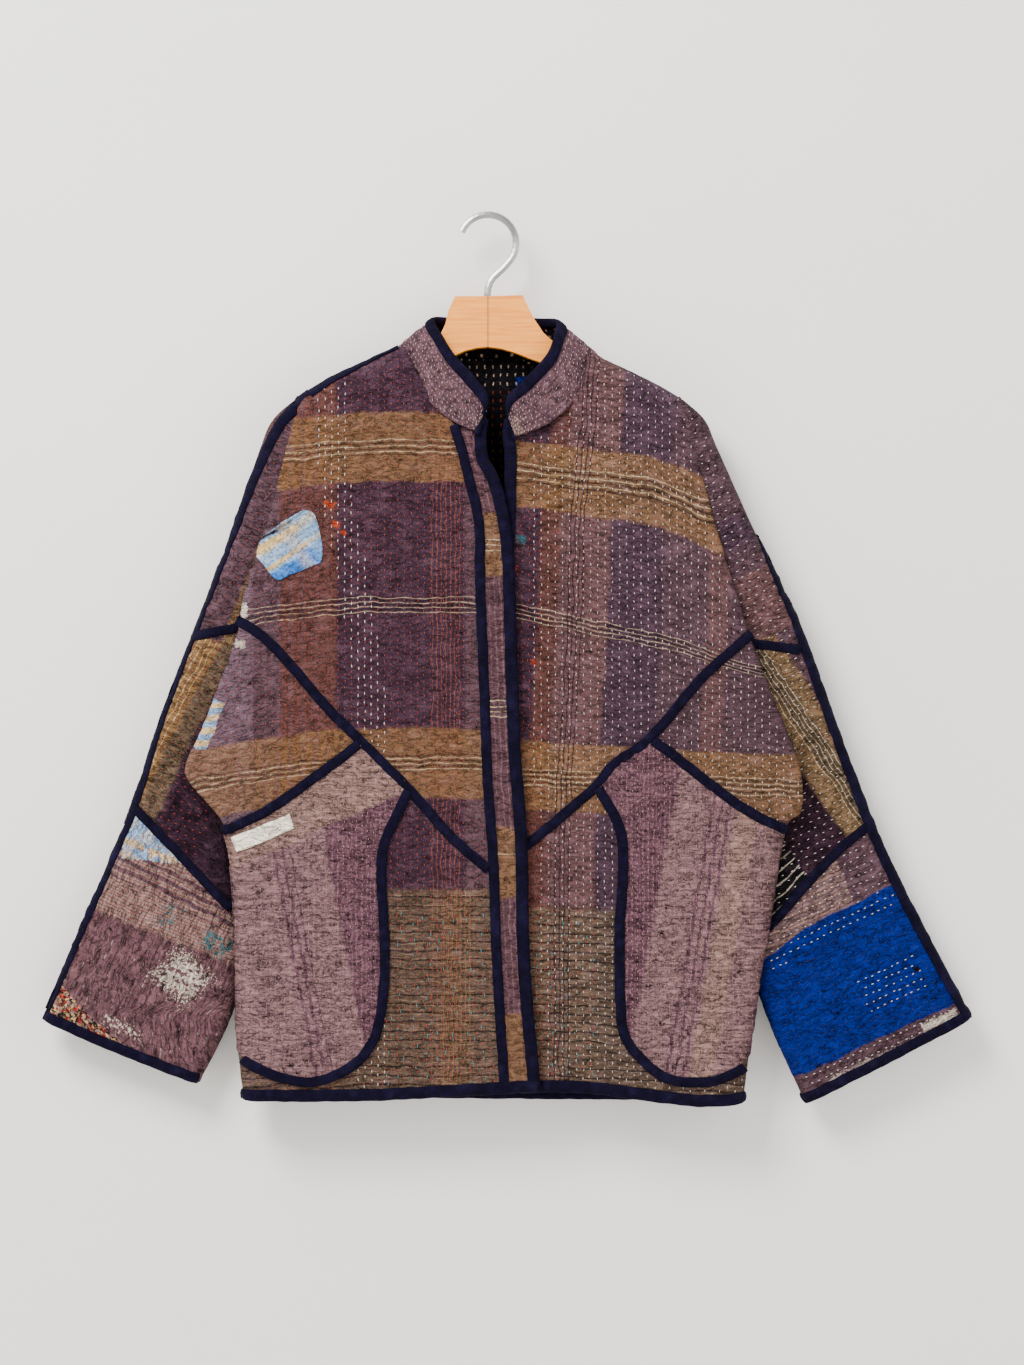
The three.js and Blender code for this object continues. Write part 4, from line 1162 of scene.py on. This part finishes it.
def pocket(s, material, below):
    far = s.pocket_far
    if s is RIGHT:
        near = Line((-119, -497), (-97, -518), (-75, -543), (-97, -590), (-101, -623), (-98, -670),
                    (-98, -723), (-104, -766), (-112, -784))
    else:
        near = Line((152, -493), (128, -513), (104, -540), (124, -580), (126, -623), (123, -682), (125, -758),
                    (133, -782))
    top = Line(near.points[0], *s.pocket_top.points[10:-1:10], far.points[0])
    foot = Line(near.points[-1], *s.pocket_foot.points[10:-1:10], far.points[-1])
    flat = flat_cloth((top, foot, near, far), BODY_PITCH)
    return panel(f"{s.name}_pocket_cloth", flat, FRONT[s], unbent, material, (f"{s.name}_pocket",),
                 lift=CLOTH + 1.6, thickness=1.0, held="laid", rests_on=(below.name,),
                 lining=False)


# ------------------------------------------------------------------ bindings
FLAT_TAPE = [(-0.5, 0.2), (-0.44, 1.1), (-0.25, 1.7), (0.0, 1.9), (0.25, 1.7), (0.44, 1.1), (0.5, 0.2)]
WRAPPED = [(-1.0, 0.4), (-0.9, 1.3), (-0.5, 1.9), (-0.08, 1.6), (0.16, 0.5), (0.24, -0.9), (0.16, -2.4),
           (-0.08, -3.6), (-0.5, -3.9), (-1.0, -3.4)]


def ribbon(name, line, sheet, profile, nodes, base=CLOTH, width=TAPE_WIDTH, start=0.0, end=1.0, turn=1):
    """Binding tape laid along a line: the profile gives shares of its width and heights over the cloth.

    A width of three numbers grows from the first to the second over the third's share of the line.
    """
    length = line.length * (end - start)
    rows = int(length / (3.0 * GRAIN))
    bm, shares = grid(len(profile) - 1, rows)
    weave = bm.loops.layers.uv["weave"]
    ridge = bm.verts.layers.float["ridge"]
    wrapped = profile is WRAPPED
    spots = {}
    for v, (a, b) in shares.items():
        across, height = profile[round(a * (len(profile) - 1))]
        along = mix(start, end, b)
        x, z = line.at(along)
        side_x, side_z = line.aside(along)
        wave = noise.noise(Vector((along * line.length / 7.5, 5.5, across * 1.4)))
        edge = noise.noise(Vector((along * line.length / 11, 8.5, 0.0)))
        wide = mix(width[0], width[1], smooth(0, width[2], along)) if isinstance(width, tuple) else width
        step = turn * across * wide + 0.065 * wide * edge
        lift = base + height * (1 + 0.55 * wave) if height > 0 else base + height
        ripple = 0.0 if wrapped else 1.0
        v[ridge] = wave * 1.6
        if wrapped and height > 0:
            lift += 0.9
        spots[v] = sheet.place(x + side_x * step, z + side_z * step, lift, ripple)
    for face in bm.faces:
        for loop in face.loops:
            a, b = shares[loop.vert]
            loop[weave].uv = (profile[round(a * (len(profile) - 1))][0] * TAPE_WIDTH * MM, b * length * MM)
    for v, spot in spots.items():
        v.co = spot
    bmesh.ops.recalc_face_normals(bm, faces=bm.faces)
    low, high = (-1.0, 0.3) if wrapped else (0.3, 0.7)
    outer = [f for f in bm.faces if low < shares[f.verts[0]][0] < high]
    if sum(f.normal.y for f in outer) * sheet.way < 0:
        bmesh.ops.reverse_faces(bm, faces=bm.faces)
    piece = new_piece(name, bm, [TAPE], nodes)
    return wall(piece, TAPE_WALL, lining=False)


# ------------------------------------------------------------------ running stitches
def stitch(line, spot, run, side, out):
    """One stitch, as a stretched ball with these three half axes in millimetres."""
    axes = Matrix((run, side, out)).transposed().to_4x4()
    bmesh.ops.create_icosphere(line, subdivisions=1, radius=MM, matrix=Matrix.Translation(spot) @ axes)


def add_row(sewn, line):
    """Adds one row's stitches to the rest. Each row is made apart, since balls add slowly to a long mesh."""
    if line.verts:
        strip = bpy.data.meshes.new("row")
        line.to_mesh(strip)
        sewn.from_mesh(strip)
        bpy.data.meshes.remove(strip)
    line.free()


def running(name, sheet, tone, inside, box, gap, pitch, length, lift, seed, turn=0.0, spread=0.5, thick=0.42):
    """Rows of short running stitches, a gap apart and a pitch along; inside(x, z) says where they go."""
    pick = random.Random(seed)
    sewn = bmesh.new()
    low_x, high_x, low_z, high_z = box
    cosine, sine = math.cos(turn), math.sin(turn)
    middle_x, middle_z = (low_x + high_x) / 2, (low_z + high_z) / 2
    reach = math.hypot(high_x - low_x, high_z - low_z) / 2
    for row in range(int(-reach / gap), int(reach / gap) + 1):
        line = bmesh.new()
        shift = (row % 2) * pitch / 2 + pick.uniform(-0.2, 0.2) * pitch
        for step in range(int(-reach / pitch), int(reach / pitch) + 1):
            a = step * pitch + shift + pick.gauss(0, spread)
            b = row * gap + pick.gauss(0, spread * 0.7)
            tilt = pick.gauss(0, 0.12)
            size = length * pick.uniform(0.8, 1.2)
            x, z = middle_x + a * cosine - b * sine, middle_z + a * sine + b * cosine
            if not (low_x < x < high_x and low_z < z < high_z and inside(x, z)):
                continue
            run_x, run_z = math.cos(turn + tilt), math.sin(turn + tilt)
            spot = sheet.place(x, z, lift)
            ahead = sheet.place(x + run_x * 1.2, z + run_z * 1.2, lift)
            run = (ahead - spot).normalized()
            out = sheet.normal(x, z)
            side = out.cross(run).normalized()
            out = run.cross(side)
            stitch(line, spot, run * size / 2, side * thick, out * 0.4)
        add_row(sewn, line)
    return new_piece(name, sewn, [tone])


# ------------------------------------------------------------------ the collar
COLLAR_SEAM = [(-8, -31, -206), (-31, -30, -197), (-51, -28, -182), (-66, -22, -160), (-77, -13, -140),
               (-85, 1, -124), (-62, 13, -133), (0, 18, -141), (64, 13, -137), (101, 1, -130),
               (93, -12, -156), (82, -20, -175), (60, -25, -195), (38, -27, -206), (22, -27, -210)]
COLLAR_TOP = [(-3, -31, -190), (-1, -29, -174), (-16, -26, -153), (-33, -21, -134), (-44, -13, -116),
              (-52, 1, -98), (-30, 14, -95), (2, 18, -94), (37, 16, -95), (63, 3, -99),
              (63, -13, -112), (56, -20, -133), (34, -24, -158), (18, -26, -174), (17, -27, -192)]
COLLAR_LENGTH = 430.0    # as drawn, before the take-up
COLLAR_HEIGHT = 46.0
COLLAR_REACH = 0.97      # the cloth stops this share of the way up, inside its binding
COLLAR_BACK = 0.012      # the collar's back lies behind this depth, in metres
COLLAR_MIDDLE = (0.008, -0.006)  # the middle of the neck, seen from above, in metres
COLLAR_ROWS = 10         # rows of stitches round the collar
ROW_PITCH = 2.7          # rows of points along the collar's bindings


def through(points, t):
    """A place on the smooth curve through the points, t from 0 to 1 by point number."""
    last = len(points) - 1
    whole = min(max(int(t * last), 0), last - 1)
    near = [points[min(max(whole + k, 0), last)] for k in (-1, 0, 1, 2)]
    return Vector(Line.bend(near, t * last - whole))


def collar_place(t, up, lift):
    """A point on the stand collar, up from 0 at its seam to 1 at its top edge."""
    def flat_place(t, up):
        return through(COLLAR_SEAM, t).lerp(through(COLLAR_TOP, t), up)
    along = flat_place(t + 0.006, up) - flat_place(t - 0.006, up)
    rise = flat_place(t, 1.0) - flat_place(t, 0.0)
    out = rise.cross(along).normalized()
    return (flat_place(t, up) + out * lift) * MM


def collar_swell(t, up):
    """How far the collar puffs out between its seam and its top."""
    broad = noise.noise(Vector((t * 60, 2.2, up * 7)))
    small = noise.noise(Vector((t * 130, 4.2, up * 16)))
    ripple = 0.7 * broad + 0.35 * small
    return math.sin(math.pi * min(max(up, 0), 1)) + ripple


def collar(material):
    bm, shares = grid(int(150 / GRAIN), int(16 / GRAIN))
    weave = bm.loops.layers.uv["weave"]
    ridge = bm.verts.layers.float["ridge"]
    for v, (a, b) in shares.items():
        up = COLLAR_REACH * (1 - b)
        swell = collar_swell(a, up)
        v[ridge] = (swell - math.sin(math.pi * up)) * 1.6
        v.co = collar_place(a, up, CLOTH + swell)
    for face in bm.faces:
        for loop in face.loops:
            a, b = shares[loop.vert]
            loop[weave].uv = (a * COLLAR_LENGTH * MM, (1 - b) * COLLAR_HEIGHT * MM)
    bmesh.ops.recalc_face_normals(bm, faces=bm.faces)
    back_faces = [f for f in bm.faces if f.calc_center_median().y > COLLAR_BACK]
    if sum(f.normal.y for f in back_faces) < 0:
        bmesh.ops.reverse_faces(bm, faces=bm.faces)
    piece = new_piece("collar_cloth", bm, [material, LINING], ("collar",))
    wall(piece, CLOTH)
    CUTS[piece.name] = {"piece": piece, "size": (COLLAR_LENGTH, COLLAR_HEIGHT),
                        "area": COLLAR_LENGTH * COLLAR_HEIGHT * COLLAR_REACH,
                        "held": "hung", "rests_on": ("back_cloth",), "going": []}
    return piece


def collar_binding(name, rows, spot_at):
    """Binding that wraps an edge of the collar; spot_at(across, along) gives a place as (t, up)."""
    bm, shares = grid(len(WRAPPED) - 1, int(rows / GRAIN))
    weave = bm.loops.layers.uv["weave"]
    ridge = bm.verts.layers.float["ridge"]
    for v, (a, b) in shares.items():
        across, height = WRAPPED[round(a * (len(WRAPPED) - 1))]
        wave = noise.noise(Vector((b * rows / ROW_PITCH, 6.5, across)))
        v[ridge] = wave * 1.6
        lift = CLOTH + height * (1 + 0.4 * wave) + 0.7 if height > 0 else CLOTH + height
        t, up = spot_at(across, b)
        v.co = collar_place(t, up, lift)
    for face in bm.faces:
        for loop in face.loops:
            a, b = shares[loop.vert]
            loop[weave].uv = (a * 20 * MM, b * rows * ROW_PITCH * MM)
    bmesh.ops.recalc_face_normals(bm, faces=bm.faces)
    outer = [f for f in bm.faces if shares[f.verts[0]][0] < 0.25]
    facing = 0.0
    for f in outer:
        spot = f.calc_center_median()
        away = spot - Vector((*COLLAR_MIDDLE, spot.z))
        facing += f.normal.dot(away)
    if facing < 0:
        bmesh.ops.reverse_faces(bm, faces=bm.faces)
    piece = new_piece(name, bm, [TAPE], ("collar_tape",))
    return wall(piece, TAPE_WALL, lining=False)


def collar_stitches(material):
    pick = random.Random(41)
    sewn = bmesh.new()
    for row in range(COLLAR_ROWS):
        line = bmesh.new()
        t = 0.012 + 0.006 * (row % 2)
        while t < 0.978:
            t += 0.0135 * pick.uniform(0.75, 1.35)
            up = (row + 0.7) / (COLLAR_ROWS + 0.6) + pick.gauss(0, 0.008)
            lift = CLOTH + collar_swell(t, up) + 0.15
            spot = collar_place(t, up, lift)
            along = (collar_place(t + 0.003, up, lift) - spot).normalized()
            rise = (collar_place(t, up + 0.02, lift) - spot).normalized()
            out = along.cross(rise).normalized()
            run = (Vector((pick.gauss(0, 0.25), 0, 1)) - out * out.z).normalized()
            side = out.cross(run).normalized()
            out = run.cross(side)
            stitch(line, spot, run * pick.uniform(0.8, 1.6), side * 0.28, out * 0.3)
        add_row(sewn, line)
    return new_piece("collar_stitches", sewn, [material])


# ------------------------------------------------------------------ putting it together
def bind(cut, name, line, sheet, profile, solid, **settings):
    """A binding that goes with a cut; solid is the CAD tape that it takes the place of."""
    goes_with(cut, ribbon(name, line, sheet, profile, (solid,), **settings))


def bindings(s, above, below, arms, pocket_piece):
    front = FRONT[s]
    arm = SLEEVE[s, -1]
    name = s.name
    right = s is RIGHT
    bind(above, f"{name}_diagonal_binding", s.diagonal, front, FLAT_TAPE, f"{name}_diagonal_tape",
         base=CLOTH + 0.4, end=0.985 if right else 0.93)
    bind(below, f"{name}_hem_binding", s.hem, front, WRAPPED, f"{name}_hem_tape", turn=-1)
    rim = Line((s.edge.points[0][0] + 2, -193), *s.edge.points[::10])
    bind(above, f"{name}_edge_binding", rim, front, WRAPPED, f"{name}_edge_tape", turn=-s.out)
    curve = Line(*s.pocket_side.points[::10], *s.pocket_foot.points[10::10])
    bind(pocket_piece, f"{name}_pocket_binding", curve, front, FLAT_TAPE, f"{name}_pocket_tape",
         base=CLOTH + 1.9, end=0.955 if right else 0.945)
    bind(pocket_piece, f"{name}_pocket_top_binding", s.pocket_top, front, FLAT_TAPE,
         f"{name}_pocket_top_tape", base=CLOTH + 2.0, start=0.02, end=0.96)
    bind(arms["sleeve", -1], f"{name}_overarm_binding", s.tape, arm, FLAT_TAPE, f"{name}_overarm_tape",
         base=CLOTH + 0.4, width=8.5 if right else (1.5, 8.5, 0.07))
    if right:
        bind(above, "right_shoulder_binding", s.over_shoulder, front, FLAT_TAPE, "right_overarm_tape",
             base=CLOTH + 0.4, width=(2.4, 8.5, 1.0))
    bind(arms["sleeve", -1], f"{name}_ring_binding", s.ring, arm, FLAT_TAPE, f"{name}_ring_tape",
         base=CLOTH + 0.2, width=9.0, start=0.04 if right else 0.09)
    bind(arms["cuff", -1], f"{name}_cuff_binding", s.cuff_seam, arm, FLAT_TAPE, f"{name}_cuff_tape",
         base=CLOTH + 0.2, width=9.0, start=0.15 if right else 0.2)
    for way, face in WAYS:
        bind(arms["cuff", way], f"{name}_cuff_hem_{face}_binding", s.cuff_hem, SLEEVE[s, way], WRAPPED,
             f"{name}_cuff_hem_{face}", turn=s.out, width=8.5)


CLOTHS = {
    RIGHT: (right_front_cotton(), right_sleeve_cotton(), right_cuff_cotton(), right_pocket_cotton()),
    LEFT: (left_front_cotton(), left_sleeve_cotton(), left_cuff_cotton(), left_pocket_cotton()),
}
parts = {}
for side in (RIGHT, LEFT):
    front_cloth, sleeve_cloth, cuff_cloth, pocket_cloth = CLOTHS[side]
    above, below = body_front(side, front_cloth)
    arms = sleeve(side, sleeve_cloth, cuff_cloth)
    pocket_piece = pocket(side, pocket_cloth, below)
    bindings(side, above, below, arms, pocket_piece)
    parts[side] = (above, below, arms, pocket_piece)

back_sheet, back_piece = back_panel(back_cotton())
BACK_HEMS = (
    (RIGHT, Line((-230, -833), (-110, -835), (0, -836))),
    (LEFT, Line((0, -836), (120, -837), (239, -836))),
)
for side, hem in BACK_HEMS:
    bind(back_piece, f"{side.name}_back_hem_binding", hem, back_sheet, WRAPPED,
         f"{side.name}_back_hem_tape", turn=-1)

placket_top = Line((-32, -199), (-23, -197), (-13, -200), (-4, -212))
placket_foot = Line((15, -826), (31, -825), (47, -824))
placket_flat = flat_cloth((placket_top, placket_foot, PLACKET_SEAM, RIGHT.edge), BODY_PITCH)
placket_piece = panel("placket_cloth", placket_flat, FRONT[RIGHT], lambda x, z: (x - PLACKET_SEAM.x(z), z),
                      placket_cotton(), ("placket",), rests_on=("right_front_above",))
bind(placket_piece, "placket_binding", PLACKET_SEAM, FRONT[RIGHT], FLAT_TAPE, "placket_tape",
     base=CLOTH + 0.4)

PATCH_TURN = math.atan2(24, 35)
PATCH_MIDDLE = (-186, -312)


def in_patch(x, z):
    """Across and up the chest patch from its middle."""
    right, up = x - PATCH_MIDDLE[0], z - PATCH_MIDDLE[1]
    cosine, sine = math.cos(PATCH_TURN), math.sin(PATCH_TURN)
    return right * cosine + up * sine, up * cosine - right * sine


patch_flat = flat_cloth(
    (Line((-209, -303), (-195, -291), (-174, -279)),
     Line((-216, -324), (-200, -344), (-186, -340), (-157, -328)),
     Line((-209, -303), (-214, -313), (-216, -324)),
     Line((-174, -279), (-163, -284), (-156, -313), (-157, -328))),
    SCRAP_PITCH)
panel("chest_patch_cloth", patch_flat, FRONT[RIGHT], in_patch, chest_patch_cotton(), ("chest_patch",),
      lift=CLOTH + 1.2, thickness=0.8, held="laid", rests_on=("right_front_above",),
      lining=False)

label_flat = flat_cloth(
    (Line((-239, -585), (-213, -575), (-187, -564)),
     Line((-234, -600), (-208, -589), (-183, -578)),
     Line((-239, -585), (-237, -592), (-234, -600)),
     Line((-187, -564), (-185, -571), (-183, -578))),
    SCRAP_PITCH)
panel("label_cloth", label_flat, FRONT[RIGHT], unbent, label_cotton(), ("label",),
      lift=CLOTH + 2.7, thickness=0.6, held="laid", rests_on=("right_pocket_cloth",), lining=False)

collar_piece = collar(collar_cotton())
COLLAR_BINDINGS = (
    ("collar_binding", 160, lambda across, along: (along, 1.0 + across * 0.2)),
    ("collar_right_end_binding", 14, lambda across, along: (-across * 0.02, 1.06 - along * 1.2)),
    ("collar_left_end_binding", 14, lambda across, along: (1 + across * 0.02, 1.06 - along * 1.2)),
)
for name, rows, spot_at in COLLAR_BINDINGS:
    goes_with(collar_piece, collar_binding(name, rows, spot_at))
goes_with(collar_piece, collar_stitches(PALE_THREAD))


def sew(cut, *args, **settings):
    goes_with(cut, running(*args, **settings))


def in_front_left(x, z):
    across = LEFT.edge.x(z) + 12 < x < LEFT.flap.x(z) - 3
    upright = LEFT.hem.z(x) + 10 < z < LEFT.shoulder.z(x) - 4
    return across and upright and (x > 100 or z < LEFT.neck.z(x) - 6)


def in_front_right(x, z):
    across = RIGHT.flap.x(z) + 3 < x < PLACKET_SEAM.x(z) - 6
    upright = RIGHT.hem.z(x) + 10 < z < RIGHT.shoulder.z(x) - 4
    return across and upright and (x < -83 or z < RIGHT.neck.z(x) - 6)


def in_pocket(s, x, z, margin=0.0):
    side_x = s.pocket_side.x(z) if z > -780 else s.pocket_foot.points[0][0]
    inside = s.out * (x - side_x) > margin and s.out * (s.pocket_far.x(z) - x) > margin * 0.6
    under = min(s.pocket_top.z(x), s.diagonal.z(x) - 3) - margin
    return inside and under > z > s.pocket_foot.z(x) + margin


def in_foot(s, x, z):
    """The olive foot of a front, between its pocket and the opening."""
    in_front = in_front_left if s is LEFT else in_front_right
    return in_front(x, z) and not in_pocket(s, x, z, -6) and -826 < z < -656 and abs(x) < 100


def off_diagonal(s, x, z):
    return abs(z - s.diagonal.z(x)) > 9


def on_left_plaid(x, z):
    beside = x > LEFT.edge.x(z) + 24
    return in_front_left(x, z) and not in_pocket(LEFT, x, z) and off_diagonal(LEFT, x, z) and beside


def by_left_edge(x, z):
    return in_front_left(x, z) and off_diagonal(LEFT, x, z) and x < LEFT.edge.x(z) + 36


def on_right_plaid(x, z):
    return in_front_right(x, z) and not in_pocket(RIGHT, x, z) and off_diagonal(RIGHT, x, z)


def on_right_white_rows(x, z):
    return on_right_plaid(x, z) and -14 < x - mix(-150, -112, smooth(-180, -480, z)) < 16


def on_back(x, z):
    beside_sleeves = RIGHT.armhole.x(z) + 6 < x < LEFT.armhole.x(z) - 6 and -826 < z < -150
    beside_flaps = z > -560 or RIGHT.flap.x(z) + 6 < x < LEFT.flap.x(z) - 6
    return beside_sleeves and beside_flaps and z < (RIGHT if x < 0 else LEFT).shoulder.z(x) - 6


UPRIGHT = math.pi / 2
FRONT_BOX = {LEFT: (0, 300, -835, -130), RIGHT: (-290, 20, -835, -125)}
left_above, left_below, _, left_pocket = parts[LEFT]
right_above, right_below, _, right_pocket = parts[RIGHT]
sew(left_above, "left_front_stitches", FRONT[LEFT], WHITE_THREAD, on_left_plaid, FRONT_BOX[LEFT],
    6.7, 7.3, 2.8, CLOTH + 0.25, 3, turn=UPRIGHT, thick=0.36)
sew(left_above, "left_edge_red_stitches", FRONT[LEFT], RED_THREAD, by_left_edge, FRONT_BOX[LEFT],
    5.6, 8.4, 3.2, CLOTH + 0.25, 23, turn=UPRIGHT, spread=1.0, thick=0.36)
for side, below_piece, tone_name, tone, seed in (
        (LEFT, left_below, "red", RED_THREAD, 25), (LEFT, left_below, "teal", TEAL_THREAD, 27),
        (RIGHT, right_below, "red", RED_THREAD, 29), (RIGHT, right_below, "teal", TEAL_THREAD, 31)):
    sew(below_piece, f"{side.name}_foot_{tone_name}_stitches", FRONT[side], tone,
        lambda x, z, s=side: in_foot(s, x, z), FRONT_BOX[side],
        13.0, 15.0, 4.0, CLOTH + 0.3, seed, turn=UPRIGHT, spread=3.0)
sew(left_pocket, "left_pocket_stitches", FRONT[LEFT], PINK_THREAD, lambda x, z: in_pocket(LEFT, x, z, 6),
    (100, 280, -820, -490), 5.0, 6.4, 2.8, CLOTH + 1.85, 5, turn=UPRIGHT)
sew(right_above, "right_front_red_stitches", FRONT[RIGHT], RED_THREAD, on_right_plaid, FRONT_BOX[RIGHT],
    6.2, 6.6, 2.6, CLOTH + 0.1, 7, turn=UPRIGHT, thick=0.36)
sew(right_above, "right_front_white_stitches", FRONT[RIGHT], WHITE_THREAD, on_right_white_rows,
    FRONT_BOX[RIGHT], 6.2, 8.4, 3.2, CLOTH + 0.25, 9, turn=UPRIGHT)
sew(right_pocket, "right_pocket_stitches", FRONT[RIGHT], PINK_THREAD,
    lambda x, z: in_pocket(RIGHT, x, z, 6), (-260, -90, -820, -490),
    5.6, 8.0, 2.4, CLOTH + 1.85, 11, turn=UPRIGHT)

DARK_START = 330.0       # the dark lower part of the right sleeve, measured down it
DARK_EDGE = -70.0        # and in from its overarm seam
PATCH_ROWS = (566, 602)  # a few white rows near the outer end of the cobalt patch, measured down the sleeve
ROWS_ACROSS = (-72, -12)
DOWN = {s: down_sleeve(s) for s in (RIGHT, LEFT)}


def in_sleeve(s, x, z):
    limit = s.tape if s is RIGHT or z < -300 else s.outer
    return s.out * (x - s.flap.x(z)) > 2 and s.out * (limit.x(z) - x) > 6 and z > s.cuff_seam.z(x) + 7


def in_cuff(s, x, z):
    across = s.out * (x - s.inner.x(z)) > 8 and s.out * (s.tape.x(z) - x) > 7
    return across and s.cuff_hem.z(x) + 9 < z < s.cuff_seam.z(x) - 7


def patch_drop(x, z):
    """How far a point lies below the top edge of the cobalt patch, or None when it is off the patch."""
    across, down = DOWN[LEFT](x, z)
    drop = down - PATCH_TOP - PATCH_BEND * max(0.0, -across - PATCH_SHOULDER) ** 2
    return drop if drop > 0 and down < PATCH_FOOT else None


def white_on_cuff(x, z):
    """White stitches skip most of the cobalt patch, but run along its top and in a few rows further down."""
    drop = patch_drop(x, z)
    across, down = DOWN[LEFT](x, z)
    in_rows = PATCH_ROWS[0] < down < PATCH_ROWS[1] and ROWS_ACROSS[0] < across < ROWS_ACROSS[1]
    return in_cuff(LEFT, x, z) and (drop is None or 2 < drop < 16 or in_rows)


def on_cobalt(x, z):
    return in_cuff(LEFT, x, z) and patch_drop(x, z) is not None


def in_dark(x, z):
    across, down = DOWN[RIGHT](x, z)
    return down > DARK_START and across < DARK_EDGE


def on_light_sleeve(s, x, z):
    return in_sleeve(s, x, z) and (s is LEFT or not in_dark(x, z))


def on_dark_sleeve(x, z):
    return in_sleeve(RIGHT, x, z) and in_dark(x, z)


def upper_right_cuff(x, z):
    return in_cuff(RIGHT, x, z) and DOWN[RIGHT](x, z)[1] < CUFF_CHANGE


def lower_right_cuff(x, z):
    return in_cuff(RIGHT, x, z) and DOWN[RIGHT](x, z)[1] > CUFF_CHANGE


for side, tone in ((RIGHT, RED_THREAD), (LEFT, WHITE_THREAD)):
    start, end = side.outer.points[0], side.outer.points[-1]
    along = math.atan2(end[1] - start[1], end[0] - start[0])
    across = along + math.pi / 2
    box = (min(start[0], end[0]) - 10, max(start[0], end[0]) + 10, -850, -170)
    sheet = SLEEVE[side, -1]
    sleeve_piece = parts[side][2]["sleeve", -1]
    cuff_piece = parts[side][2]["cuff", -1]
    sew(sleeve_piece, f"{side.name}_sleeve_stitches", sheet, tone,
        lambda x, z, s=side: on_light_sleeve(s, x, z), box,
        7.0, 8.2, 2.8, CLOTH + 0.2, 13, turn=across, thick=0.36)
    if side is LEFT:
        sew(cuff_piece, "left_cuff_stitches", sheet, WHITE_THREAD, white_on_cuff, box,
            7.6, 7.0, 2.6, CLOTH + 0.2, 15, turn=across)
        sew(cuff_piece, "left_patch_dark_stitches", sheet, DARK_THREAD, on_cobalt, box,
            7.6, 7.0, 2.8, CLOTH + 0.1, 33, turn=across)
    else:
        sew(sleeve_piece, "right_sleeve_dark_stitches", sheet, DARK_THREAD, on_dark_sleeve, box,
            7.0, 8.2, 3.0, CLOTH + 0.1, 37, turn=across)
        sew(cuff_piece, "right_cuff_red_stitches", sheet, RED_THREAD, upper_right_cuff, box,
            4.3, 5.6, 2.2, CLOTH + 0.15, 15, turn=along, thick=0.36)
        sew(cuff_piece, "right_cuff_dark_stitches", sheet, DARK_THREAD, lower_right_cuff, box,
            8.6, 7.2, 2.8, CLOTH + 0.1, 35, turn=along)
sew(back_piece, "back_stitches", back_sheet, WHITE_THREAD, on_back, (-260, 270, -830, -140),
    9.0, 9.5, 3.4, CLOTH + 0.2, 17, turn=UPRIGHT)

# ------------------------------------------------------------------ hanger
WOOD = beech_wood()
STEEL = satin_steel()
for name, finish in (("hanger_right", WOOD), ("hanger_left", WOOD), ("hook", STEEL)):
    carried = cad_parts[name]
    carried.data.materials.clear()
    carried.data.materials.append(finish)


# ------------------------------------------------------------------ room, light and camera
def plain_paint(name, colour, see_through_back):
    """Matt paint; a see-through back lets the jacket be looked at from behind the wall."""
    material, tree = bare_material(name)
    patchy = mottle(tree, own_place(tree), 3.0, 3.0)
    tone = ramp(tree, patchy, [(0.3, shaded_dye(colour, 0.97)), (0.7, colour)])
    last = surface(tree, Base_Color=tone, Roughness=0.9)
    if see_through_back:
        clear = node(tree, "BsdfTransparent").outputs[0]
        behind = node(tree, "NewGeometry").outputs["Backfacing"]
        last = node(tree, "MixShader", {0: behind, 1: last, 2: clear}).outputs[0]
    shown(tree, last)
    return material


def stage_plane(name, place, turn, material):
    bm = bmesh.new()
    bmesh.ops.create_grid(bm, x_segments=1, y_segments=1, size=3.0)
    moved = Matrix.Translation(place) @ Matrix.Rotation(turn, 4, "X")
    bmesh.ops.transform(bm, matrix=moved, verts=bm.verts)
    mesh = bpy.data.meshes.new(name)
    bm.to_mesh(mesh)
    bm.free()
    mesh.materials.append(material)
    plane = bpy.data.objects.new(name, mesh)
    bpy.context.scene.collection.objects.link(plane)


WALL_PAINT = plain_paint("wall paint", dye(246, 243, 240), True)
stage_plane("wall_behind", (0, 0.034, -0.5), math.radians(90), WALL_PAINT)
FLOOR_PAINT = plain_paint("floor paint", dye(224, 222, 218), False)
stage_plane("floor_below", (0, -2.9, -1.35), 0.0, FLOOR_PAINT)


def area_light(name, place, aim, size, power):
    lamp = bpy.data.lights.new(name, "AREA")
    lamp.size = size
    lamp.energy = power
    holder = bpy.data.objects.new(name, lamp)
    holder.location = place
    holder.rotation_euler = (Vector(aim) - Vector(place)).to_track_quat("-Z", "Y").to_euler()
    bpy.context.scene.collection.objects.link(holder)


area_light("window", (-1.3, -1.9, 1.5), (0, 0, -0.5), 1.3, 160)
area_light("bounce", (2.2, -2.2, -0.2), (0, 0, -0.45), 2.4, 34)
world = bpy.data.worlds.new("room light")
world.use_nodes = True
world.node_tree.nodes["Background"].inputs[0].default_value = (1.0, 0.99, 0.98, 1)
world.node_tree.nodes["Background"].inputs[1].default_value = 0.96
bpy.context.scene.world = world

lens = bpy.data.cameras.new("camera")
lens.lens = 85
lens.sensor_width = 36
lens.sensor_height = 36
lens.sensor_fit = "AUTO"
camera = bpy.data.objects.new("camera", lens)
camera.location = (0.022, -3.06, -0.441)
camera.rotation_euler = (math.radians(90), 0, 0)
bpy.context.scene.collection.objects.link(camera)
bpy.context.scene.camera = camera
